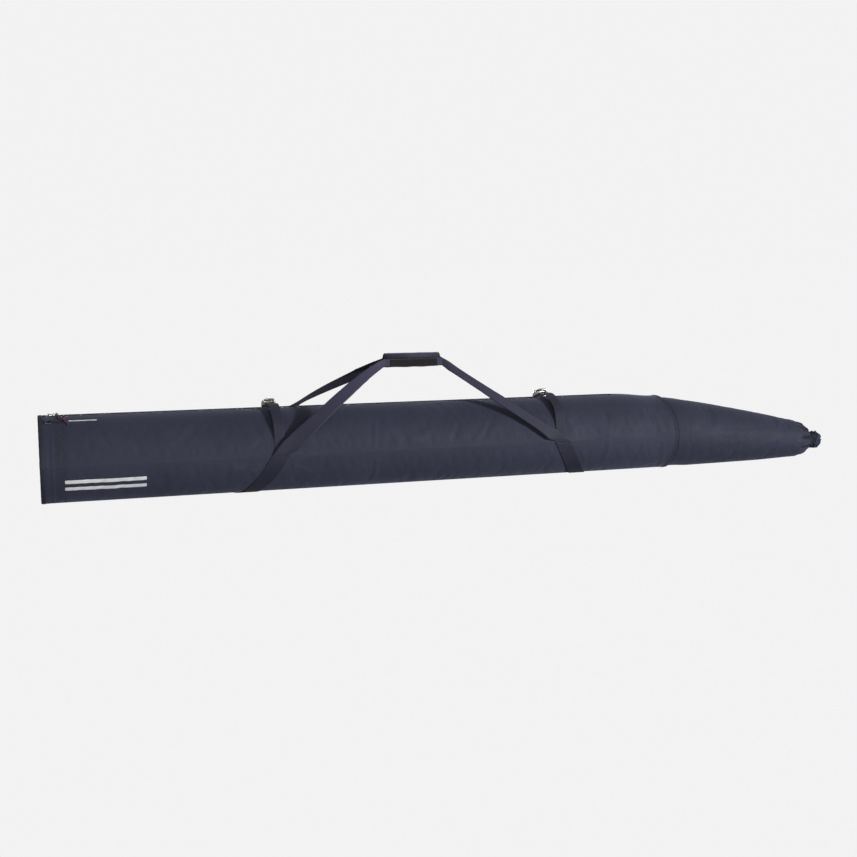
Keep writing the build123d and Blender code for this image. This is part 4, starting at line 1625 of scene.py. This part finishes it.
def leg(curve, lie, side, mirror):
    """Stations of one leg: centre, direction across the webbing, its normal and its outline."""
    leans, widths = lie
    count = 120
    t = np.linspace(0, 1, count)
    centre = bezier(curve, t)
    direction = unit(bezier(curve, np.minimum(t + 0.005, 1)) - bezier(curve, np.maximum(t - 0.005, 0)))
    lean, shown = evenly(leans, t) * deg, evenly(widths, t) * mm
    face = points(0.0, side * np.cos(lean), np.sin(lean))
    across = unit(np.cross(direction, face))
    across *= np.where(across[:, 2:] > 0, 1, -1)
    level = np.tile([-float(mirror), 0, 0], (count, 1))
    blend = smooth(0.0, 0.16, t)[:, None]
    upright = smooth(0.84, 1.0, t)[:, None]
    across = unit(level * (1 - blend) + across * blend)
    across = unit(across * (1 - upright) + np.array([0, 0, 1.0]) * upright)
    normal = unit(face - across * (face * across).sum(1, keepdims=True))
    wider = 3 * mm * (1 - blend[:, 0])
    full, shown = web_width + wider, np.minimum(shown, web_width) + wider
    outlines = np.stack([folded_outline(w, f, 1.5 * mm, side) for w, f in zip(shown, full)])
    return centre, across, normal, outlines


def handle_loop(name, left, left_lie, right, right_lie, side, node, mat):
    """A webbing loop: left leg, the folded run in the grip, right leg."""
    cl, al, nl, ol = leg(left, left_lie, side, 1)
    cr, ar, nr, orr = leg(right, right_lie, side, -1)
    inside = 36
    f = np.linspace(0, 1, inside + 2)[1:-1, None]

    def whole(a, b):
        shape = (inside,) + (1,) * (a.ndim - 1)
        g = f.reshape(shape)
        return np.concatenate([a, a[-1] * (1 - g) + b[-1] * g, b[::-1]])

    centre, across, normal, outlines = whole(cl, cr), whole(al, ar), whole(nl, nr), whole(ol, orr)
    rings = centre[:, None] + outlines[..., :1] * across[:, None] + outlines[..., 1:] * normal[:, None]
    half_k = outlines.shape[1] // 2
    w = np.linspace(0, web_width, half_k)
    u, v = mesh(path_length(centre), np.concatenate([w, w[::-1], [0]]))
    edge = np.tile(
        smooth(0.8, 1.0, np.abs(np.concatenate([np.linspace(-1, 1, half_k), np.linspace(1, -1, half_k)]))),
        (len(centre), 1),
    )
    root = np.linspace(0, 1, len(cl))
    # Painted shade: each leg darkens towards its root on the body.
    painted_root_darkening = np.concatenate([1 - smooth(0.1, 0.6, root), np.zeros(inside), smooth(0.4, 0.9, root)])
    painted_root_darkening = np.repeat(painted_root_darkening[:, None], outlines.shape[1], 1)
    piece = loft(name, rings, u, v, mats=[mat], attrs={"edge": edge, "painted_shade": painted_root_darkening})
    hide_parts(node)
    ends = []
    for c, a, n in ((cl, al, nl), (cr, ar, nr)):
        outward = n * np.sign((n[:1] * np.array([0, side, 0])).sum())
        ends += sewn_box(c, a, outward, 2, 10, 16 * mm, 0.9 * mm)
    thread = sewn(name + "_stitches", ends, None)
    for obj in (piece, thread):
        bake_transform(obj)
    return piece


# How each leg lies from its root to the grip, at even steps: its lean off the upright in
# degrees, and how wide it shows in mm as its edges turn in behind.
root_l, root_r = root_x["left"], root_x["right"]
root_z = axis_z + 0.5 * mm
handle_loop(
    "handle_loop_front",
    [
        (root_l, -pivot_y, root_z),
        (-0.452, -0.136, 0.166),
        (-0.286, -0.041, 0.287),
        (grip_x[0], front_grip[1], front_grip[2]),
    ],
    ((0, 35, 45, 40, 22, 0), (38, 37.5, 31.5, 28, 20.7, 18.4)),
    [
        (root_r, -pivot_y, root_z),
        (0.112, -0.133, 0.159),
        (-0.036, -0.033, 0.263),
        (grip_x[1], front_grip[1], front_grip[2]),
    ],
    ((0, 20, 20, 12, 22, 0), (38, 32, 24, 22.5, 22.5, 22, 19, 18.4, 18.4, 18.4, 18.4)),
    -1, "handle_front_webbing", web_mat,
)
handle_loop(
    "handle_loop_back",
    [
        (root_l, pivot_y, root_z),
        (-0.502, 0.121, 0.188),
        (-0.305, 0.048, 0.255),
        (grip_x[0], back_grip[1], back_grip[2]),
    ],
    ((0, 39, 77, 59, 45, 0), (38, 38, 38, 38, 38, 38, 38, 38, 37, 24, 18.4)),
    [
        (root_r, pivot_y, root_z),
        (0.169, 0.119, 0.157),
        (0.0, 0.049, 0.254),
        (grip_x[1], back_grip[1], back_grip[2]),
    ],
    ((0, 41, 84, 84, 84, 0), (38, 38, 38, 38, 38, 38, 36, 25.3, 18.4, 18.4, 18.4)),
    1, "handle_back_webbing", web_back_shaded_mat,
)


def grip():
    """The padded wrap rolled over both loops, its sewn edges, its core and the hook-tape patch."""
    centre_z = wrap_hi.z - 18 * mm
    x0, x1 = wrap_lo.x, wrap_hi.x - 5 * mm
    rows = x0 + spread_columns(x1 - x0, 2.6 * mm, (0, 0.3, 0.8, 1.5, 2.4))
    wrap_r, stitch_in = 16.3 * mm, 5 * mm
    arc = wrap_r * 240 * deg
    cols = spread_columns(arc, 1.7 * mm, (0, 0.3, 0.8, 1.5, 2.4)) / arc
    x, t = mesh(rows, cols)
    angle = (68 - 240 * t) * deg
    ends = to_edge(x, x0, x1)
    sides = np.minimum(t, 1 - t) * arc
    roll = np.maximum(edge_roll(ends, 1.7 * mm), edge_roll(sides, 1.7 * mm)) * 1.6 * mm
    s = (x - x0) / (x1 - x0)
    soft = 0.5 * mm * np.sin(s * math.pi) + 0.35 * mm * field(x * 1.4, angle * 16 * mm, rumple_mid)
    soft += 0.25 * mm * np.cos(x / (7 * mm)) * fade(8 * mm, 22 * mm, sides)
    soft -= 0.55 * mm * bell(ends - stitch_in, 0.8 * mm) + 0.55 * mm * bell(sides - stitch_in, 0.8 * mm)
    sag = -0.8 * mm * np.sin(s * math.pi)

    middle = centre_z + sag * 0.5
    outer = at_angle(x, 17.9 * mm - roll + soft * 0.9, angle, middle)
    inner = at_angle(x, 14.7 * mm + roll * 0.92 + 0.1 * soft, angle, middle)
    wear = clamp(
        0.6 * smooth(0.2, 1.0, np.sin(s * math.pi)) * smooth(20 * deg, -40 * deg, -np.abs(angle))
        + 0.4 * (sides < 3 * mm)
    )
    # Painted shade: darker at both ends and along a line at the front edge where the roll opens; the left
    # third is darkened too.
    painted_shade = (
        0.25 * (ends < 4.5 * mm) + 0.55 * fade(x0 + 25 * mm, x0 + 80 * mm, x)
        + 0.9 * fade(0.6 * mm, 3.4 * mm, t * arc)
    )
    piece = slab(
        "grip_wrap_padded",
        outer,
        inner,
        x,
        angle * 16 * mm,
        mats=[wrap_mat],
        attrs={"wear": wear, "painted_shade": clamp(painted_shade)},
    )
    place(piece, "back_handle", "grip_wrap")
    rows_out = []
    for inset in (x0 + stitch_in, x1 - stitch_in):
        b = np.linspace(60, -165, 60) * deg
        rows_out.append((at_angle(inset, 17.55 * mm, b, centre_z), body_normal(b)))
    for b in (68 * deg - stitch_in / wrap_r, -172 * deg + stitch_in / wrap_r):
        xs = np.linspace(x0 + stitch_in, x1 - stitch_in, 60)
        rows_out.append((at_angle(xs, 17.75 * mm, b, centre_z), np.tile(body_normal(b), (60, 1))))
    sewn("grip_wrap_stitches", rows_out, "back_handle")

    cy, cz = (core_lo.y + core_hi.y) / 2, (core_lo.z + core_hi.z) / 2
    xs = np.linspace(core_lo.x, x1 + 2.5 * mm, 60)
    end_dist = to_edge(xs, xs[0], xs[-1])
    size = 4.5 * mm * (0.72 + 0.28 * np.sqrt(clamp(end_dist / (1.6 * mm))))
    line = points(xs, cy, cz)
    core = round_tube(
        "grip_core_roll",
        line,
        size,
        40,
        [wrap_mat],
        lambda u, a: -0.5 * mm * bell(a - 1.2, 0.12) + 0.12 * mm * np.cos(5 * a + u / (6 * mm)),
    )
    place(core, "back_handle", "grip_core")

    lo, hi = patch_lo, patch_hi
    xs = lo.x + spread_columns(hi.x - lo.x, 1.1 * mm, (0, 0.3, 0.8))
    zs = lo.z + spread_columns(hi.z - lo.z, 1.1 * mm, (0, 0.3, 0.8))
    gx, gz = mesh(xs, zs)
    d = np.minimum(to_edge(gx, lo.x, hi.x), to_edge(gz, lo.z, hi.z))
    pile = rng.random(gx.shape) * 0.35 * mm * smooth(0, 1.2 * mm, d)
    drop = edge_roll(d, 0.8 * mm) * 0.55 * mm
    outer = points(gx, lo.y + drop - pile + 0.2 * mm, gz)
    inner = points(gx, hi.y - drop * 0.8, gz)
    patch = slab("grip_loop_patch", outer, inner, gx, gz, mats=[hook_mat])
    place(patch, "front_handle", "grip_hook_patch")


grip()


# ------------------------------------------------------------------ sliding nose
nose_top, nose_low = shell_hi.z, -2 * mm
nose_flat = shell_lo.z
neck_x, tip_x = tail_lo.x, tail_hi.x
knob_z = (knot_lo.z + knot_hi.z) / 2
neck_r = 18.6 * mm
droop = 2.6 * mm


def nose_outline(x):
    """Crest, lowest point of the circle and resting flat of the nose at x."""
    stations = [
        shell_lo.x,
        mouth + 2 * mm,
        tip_x - 100 * mm,
        tip_x - 75 * mm,
        tip_x - 60 * mm,
        neck_x,
        neck_x + 3.4 * mm,
    ]
    crest = [nose_top, nose_top, 0.108, 0.0990, 0.0915, 0.0805, knob_z + neck_r]
    under = [nose_low, nose_low, nose_low + 3 * mm, 0.009, 0.0165, 0.0245, knob_z - neck_r]
    flat = [nose_flat, nose_flat, nose_flat + 2.4 * mm, 0.0125, 0.0195, 0.0265, knob_z - neck_r]
    ease = (x - stations[1]) / (stations[2] - stations[1])
    swell = 3.0 * mm * clamp(4 * ease * (1 - ease))
    return np.interp(x, stations, crest) + swell, np.interp(x, stations, under), np.interp(
        x, stations, flat
    )


def place_on_nose(piece, node):
    """A piece of the nose, which moves with it and has a mesh of its own."""
    place(piece, "nose", node)
    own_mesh(piece)


nose_low_waves = waves(21, 26, 60 * mm, 170 * mm, 1.5)
nose_mid_waves = waves(22, 34, 22 * mm, 60 * mm, 1.3)
nose_fine_waves = waves(23, 34, 8 * mm, 22 * mm, 1.2)
nose_sim_x = np.linspace(mouth, neck_x, 90)
nose_sim_phi = circle(65)[:-1]
nose_swell = np.zeros((len(nose_sim_x), len(nose_sim_phi)))


def nose_pleats(x, phi):
    """Folds that gather towards the tied neck."""
    t = smooth(tip_x - 124 * mm, neck_x - 6 * mm, x)
    drift = field(x * 0.4, phi * 60 * mm, nose_mid_waves)
    big = np.cos(11 * phi + 1.6 * drift + 2.0)
    small = np.cos(23 * phi - 2.2 * drift + 0.7)
    ridged = (
        0.6 * (1 - 2 * np.abs(np.sin(5.5 * phi + 0.9 * drift + 0.4)) ** 0.8) + 0.35 * big + 0.25 * small
    )
    return 5.0 * mm * t**1.3 * ridged


# The nose's long folds, with x counted from the mouth
nose_folds = (
    (0.03, 40, 0.19, 96, 8, 0.4),
    (0.05, 84, 0.33, 64, 9, 0.45),
    (0.10, 128, 0.30, 100, 9, 0.7),
)


def nose_rumple(x, phi):
    s = phi * 80 * mm
    loose = smooth(mouth + 2 * mm, mouth + 40 * mm, x) * fade(tip_x - 90 * mm, tip_x - 60 * mm, x)
    out = loose * (0.6 * mm * field(x, s, nose_low_waves) + 0.26 * mm * field(x, s, nose_mid_waves))
    out += (0.2 + 0.8 * loose) * 0.12 * mm * field(x, s, nose_fine_waves)
    up = np.where(phi > math.pi, phi - tau, phi)
    for side in (1, -1):
        for x0, turn0, x1, turn1, width, height in nose_folds:
            out += loose * fold(
                x, up * side, mouth + x0, turn0 * deg, mouth + x1, turn1 * deg, width * mm, height * mm
            )
    return out


def nose_skin(x, phi, lift=0.0, rumpled=True):
    """Points on the nose's outside."""
    x, phi, lift = np.broadcast_arrays(np.asarray(x, float), np.asarray(phi, float), lift)
    crest, under, flat = nose_outline(x)
    r, centre = (crest - under) / 2, (crest + under) / 2
    reach = ray_reach(phi, r, centre, flat, 7 * mm)
    a = off_crest(phi)
    bottom = smooth(146 * deg, 160 * deg, a) * fade(tip_x - 110 * mm, tip_x - 70 * mm, x)
    extra = nose_pleats(x, phi) - 0.4 * mm
    if rumpled:
        extra = (
            extra + nose_rumple(x, phi)
            + sample_grid(nose_swell, x, phi, nose_sim_x) * smooth(mouth, mouth + 20 * mm, x)
        )
    reach = reach + extra * (1 - bottom) + lift
    low = smooth(60 * deg, 150 * deg, a)
    sag = droop * smooth(mouth + 4 * mm, mouth + 60 * mm, x) * fade(
        tip_x - 240 * mm, tip_x - 100 * mm, x
    ) * low
    return at_angle(x, reach, phi, centre) - points(0.0, 0.0, sag)


def nose():
    """The nose's fabric shell, a closed tube that gathers into the neck."""
    global nose_swell
    gx, gp = mesh(nose_sim_x, nose_sim_phi)
    hold = np.maximum(
        fade(mouth + 2 * mm, mouth + 20 * mm, gx), smooth(tip_x - 80 * mm, tip_x - 62 * mm, gx)
    )
    hold = np.maximum(hold, smooth(146 * deg, 156 * deg, off_crest(gp)))
    nose_swell = cloth_relief(
        "nose_sim", nose_skin(gx, gp), body_normal(gp), hold, 20, 1.0, -0.022, 0.6 * mm
    )
    print(
        "cloth on the nose:",
        round(float(nose_swell.min()) * 1000, 2),
        round(float(nose_swell.max()) * 1000, 2),
        "mm",
    )
    rows = np.concatenate(
        [
            shell_lo.x + np.array([0, 0.5, 1.2, 2.4]) * mm,
            np.linspace(shell_lo.x + 6 * mm, mouth - 6 * mm, 10),
            np.linspace(mouth, tip_x - 120 * mm, 96)[:-1],
            np.linspace(tip_x - 120 * mm, neck_x + 3.2 * mm, 62),
        ]
    )
    count = 220
    phi = circle(count + 1)
    x, p = mesh(rows, phi[:-1])
    roll = edge_roll(x - rows[0], 1.2 * mm) * 0.6 * mm
    outer = nose_skin(x, p, -roll)
    inner = nose_skin(x, p, -1.4 * mm + roll)
    u = np.repeat(rows[:, None], count + 1, 1)
    v = phi[None, :] * (outer[:, 0, 2] - outer[:, count // 2, 2])[:, None] / 2
    relief = nose_rumple(x, p) + sample_grid(nose_swell, x, p, nose_sim_x)
    pleat = nose_pleats(x, p)
    wear = clamp(smooth(0.8 * mm, 2.6 * mm, relief) * 0.4 + smooth(1.2 * mm, 3.2 * mm, pleat) * 0.4)
    gathered = smooth(tip_x - 66 * mm, tip_x - 50 * mm, x)
    wear = wear * (1 - gathered)
    # Painted shade in the hollows of the rumples and pleats, over the gathered cloth and towards the neck.
    painted_shade = 0.3 * smooth(0.6 * mm, 2.4 * mm, -relief) + 0.9 * smooth(0.2 * mm, 1.8 * mm, -pleat)
    painted_shade = clamp(painted_shade + 0.85 * gathered + 0.2 * smooth(neck_x - 22 * mm, neck_x - 4 * mm, x))
    piece = slab(
        "nose_shell_cloth",
        outer,
        inner,
        u,
        v,
        wrap=True,
        mats=[nose_navy],
        attrs={"wear": wear, "painted_shade": painted_shade},
    )
    place_on_nose(piece, "nose_shell")

    band_profile = []
    x0, x1 = shell_lo.x + 0.2 * mm, shell_lo.x + 14 * mm
    band_profile += round_corner(x1 - 0.8 * mm, 1.0 * mm, 0.8 * mm, -90, 90, 5)
    band_profile += round_corner(x0 + 0.8 * mm, 1.0 * mm, 0.8 * mm, 90, 270, 5)
    band = ring_sweep(
        "nose_elastic_stop",
        band_profile,
        lambda x, p, h: nose_skin(x, p, h - 0.05 * mm, False),
        260,
        [binding_mat],
        lambda x, h, p: (x, h + 0.15 * mm * np.cos(p * 120) * (h > 1 * mm)),
    )
    place_on_nose(band, "nose_stop_band")


def tail_and_tie():
    """The bunched cloth past the neck, and the cord wound twice round the neck."""
    span = tip_x - neck_x
    t = np.concatenate([[0, 0.03, 0.07], np.linspace(0.11, 0.9, 40), [0.93, 0.955, 0.975, 0.99, 1.0]])
    count = 200
    phi = circle(count + 1)
    tt, p = mesh(t, phi[:-1])
    knots = [0, 0.14, 0.30, 0.45, 0.56, 0.70, 0.84, 0.93, 1.0]
    sizes = np.array([17.2, 17.9, 21.9, 23.8, 24.2, 22.4, 17.0, 10.5, 1.0]) * mm
    fine_t = np.linspace(0, 1, 200)
    fine_r = np.interp(fine_t, knots, sizes)
    fine_r = softened(fine_r, 21, np.linspace(fine_r[-1], -4 * mm, 10))
    r = np.interp(tt, fine_t, np.maximum(fine_r, 0.4 * mm))
    drift = field(tt * 0.09, p * 30 * mm, nose_mid_waves)
    lobes = 1 - 2 * np.abs(np.sin(3.0 * p + 2.4 * drift + 2.6 * tt)) ** 0.75
    small = np.cos(13 * p + 3.5 * drift - 3 * tt) * 0.32 + np.cos(23 * p - 3 * drift) * 0.14
    depth = (
        1.7 * mm * smooth(0.0, 0.35, tt) * (1 - 0.75 * smooth(0.75, 1.0, tt))
        + 1.3 * mm * fade(0.0, 0.2, tt)
    )
    pull = np.clip(r / (20 * mm), 0.06, 1)
    rr = np.maximum(r + depth * (lobes * 0.7 + small) * pull, 0.3 * mm)
    x = neck_x + 0.6 * mm + tt * (span - 0.8 * mm)
    x = (
        x + 1.6 * mm * lobes * smooth(0.5, 0.95, tt) * fade(0.95, 1.0, tt)
        - 0.9 * mm * smooth(0.5, 0.95, tt)
    )
    tilt = 3.0 * mm * smooth(0.1, 1.0, tt)
    rings = points(x, -rr * np.sin(p) * 0.97, knob_z + tilt * 0.5 + rr * np.cos(p))
    u, v = mesh(t * span * 1.3, phi * 20 * mm)
    wear = clamp(smooth(0.3, 0.95, lobes)) * 0.35
    # Painted shade in the hollows between the lobes.
    painted_shade = 0.3 * smooth(0.1, 0.9, -lobes)
    tail = loft("nose_tail_bunch", rings, u, v, mats=[nose_navy], attrs={"wear": wear, "painted_shade": painted_shade})
    place_on_nose(tail, "nose_tail")

    cord_r = 1.25 * mm
    turns = 2.0
    a = np.linspace(0.6, 0.6 + turns * tau, 240)
    wind = 19.5 * mm + 0.25 * mm * np.cos(a * 9)
    cx = knot_lo.x + 0.1 * mm + cord_r + (knot_hi.x - knot_lo.x - 2 * cord_r) * (a - a[0]) / (a[-1] - a[0])
    wound = at_angle(cx, wind, a, knob_z)
    braid = lambda s, b: 0.12 * mm * (np.abs(np.sin(2 * b + s / (0.9 * mm))) - 0.5)
    pieces = [round_tube("tie_wound", wound, cord_r, 14, [tie_mat], braid)]
    k = circle(60)
    knot_turn = 0.9
    spot = at_angle((knot_lo.x + knot_hi.x) / 2, 20.2 * mm, knot_turn, knob_z)
    out = body_normal(knot_turn)
    side = np.cross(out, [1.0, 0, 0])
    loop = (
        spot + np.outer(2.0 * mm * np.sin(k), side) + np.outer(1.7 * mm * np.sin(2 * k), [1.0, 0, 0])
        + np.outer(0.9 * mm * np.cos(3 * k) + 0.6 * mm, out)
    )
    pieces.append(round_tube("tie_knot", loop, cord_r * 0.95, 12, [tie_mat], braid, closed=True))
    for n_tail, swing in enumerate((-1, 1)):
        q = np.linspace(0, 1, 30)[:, None]
        end = (
            spot + side * 0.9 * mm * swing
            + q * (side * (7 * mm + 2 * mm * n_tail) + np.array([1.0, 0, 0]) * swing * 2.4 * mm)
            - q**2 * out * 2.0 * mm + out * 0.3 * mm
        )
        pieces.append(round_tube(f"tie_tail_{n_tail}", end, cord_r * 0.9, 10, [tie_mat], braid))
    tie = join("nose_tie_wound", pieces)
    place_on_nose(tie, "nose_tie_cord")


nose()
tail_and_tie()


# ------------------------------------------------------------------ reflective trim
def printed_strip(name, x0, x1, middles, height, node):
    """Plain strips of film that follow the fabric they are pressed on."""
    made = []
    for i, middle in enumerate(middles):
        half = height / 2
        cols = spread_columns(height, 1.0 * mm, (0, 0.2, 0.5)) - half
        rows = x0 + spread_columns(x1 - x0, 2.5 * mm, (0, 0.2, 0.5))
        x, s = mesh(rows, cols)
        corner = 1.6 * mm
        ex = np.clip(corner - to_edge(x, x0, x1), 0, corner)
        shrink = (corner - np.sqrt(np.maximum(corner**2 - ex**2, 0))) / half
        s = s * (1 - shrink)
        phi = middle * deg + s / radius
        d = np.minimum(to_edge(x, x0, x1), half - np.abs(s))
        drop = edge_roll(d, 0.4 * mm) * 0.2 * mm
        outer = body_skin(x, phi, 0.42 * mm - drop)
        inner = body_skin(x, phi, 0.02 * mm)
        made.append(slab(f"{name}_{i}", outer, inner, x, s, mats=[print_mat]))
    piece = join(name, made)
    place(piece, "body", node)


stripe_lo, stripe_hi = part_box("side_stripes")
dash_lo, dash_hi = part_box("zip_dash")
printed_strip("side_stripe_pair", stripe_lo.x, stripe_hi.x, (110.5, 121), 9 * mm, "side_stripes")
printed_strip("zip_side_dash", dash_lo.x, dash_hi.x, (24,), 4 * mm, "zip_dash")


# ------------------------------------------------------------------ floor, light and camera
def floor_material():
    """A white sweep lit as brightly as the wall behind it: the eye sees no edge and no shadow."""
    n = Nodes("pale_floor")
    speck = n.noise(3.0, 3.0)
    seen = n.add("ShaderNodeLightPath").outputs["Is Camera Ray"]
    n.set(Base_Color=n.mix(seen, rgba(0.34, 0.34, 0.35), rgba(0, 0, 0)), Roughness=0.9)
    n.set(
        Emission_Color=n.mix(speck, rgba(0.89, 0.89, 0.89), rgba(0.892, 0.892, 0.892)),
        Emission_Strength=seen,
    )
    n.shader.inputs["Specular IOR Level"].default_value = 0.0
    return n.material


def studio():
    """A pale sweep, a soft key low on the right of the camera and a little light all round."""
    extent = 60.0
    verts = [(-extent, -extent, 0), (extent, -extent, 0), (extent, extent, 0), (-extent, extent, 0)]
    floor = make_object("floor", verts, [[0, 1, 2, 3]], mats=[floor_material()], flip_check=False)

    world = bpy.data.worlds.new("studio")
    bpy.context.scene.world = world
    world.use_nodes = True
    nodes, links = world.node_tree.nodes, world.node_tree.links
    background = nodes["Background"]
    background.inputs["Color"].default_value = rgba(1.0, 1.0, 1.0)
    seen = nodes.new("ShaderNodeLightPath")
    level = nodes.new("ShaderNodeMapRange")
    level.inputs["To Min"].default_value, level.inputs["To Max"].default_value = 0.24, 0.89
    links.new(seen.outputs["Is Camera Ray"], level.inputs["Value"])
    links.new(level.outputs[0], background.inputs["Strength"])

    def area(name, at, target, size, power):
        light = bpy.data.lights.new(name, "AREA")
        light.shape = "RECTANGLE"
        light.size, light.size_y = size
        light.energy = power
        o = link(bpy.data.objects.new(name, light))
        o.location = at
        o.rotation_mode = "QUATERNION"
        o.rotation_quaternion = (Vector(target) - Vector(at)).to_track_quat("-Z", "Y")

    area("key", (5.0, -5.3, 1.2), (-0.1, 0, 0.1), (1.1, 0.9), 458)
    area("fill", (-1.4, -3.9, 0.25), (-0.1, 0, 0.1), (2.6, 0.5), 30)
    area("back", (0.6, 6.2, 0.75), (0, 0, 0.1), (3.0, 0.8), 150)

    cam = bpy.data.cameras.new("camera")
    cam.lens = 50.0
    cam.sensor_width = 36.0
    cam.clip_start, cam.clip_end = 0.01, 100.0
    view = link(bpy.data.objects.new("camera", cam))
    yaw, pitch, distance = 18.11 * deg, 8.08 * deg, 2.9993
    looking = Vector((math.sin(yaw) * math.cos(pitch), math.cos(yaw) * math.cos(pitch), -math.sin(pitch)))
    target = Vector((-0.11578, 0.0005, 0.13))
    view.location = target - looking * distance
    view.rotation_mode = "QUATERNION"
    view.rotation_quaternion = looking.to_track_quat("-Z", "Y")
    bpy.context.scene.camera = view
    bpy.context.scene.view_settings.view_transform = "Standard"


studio()
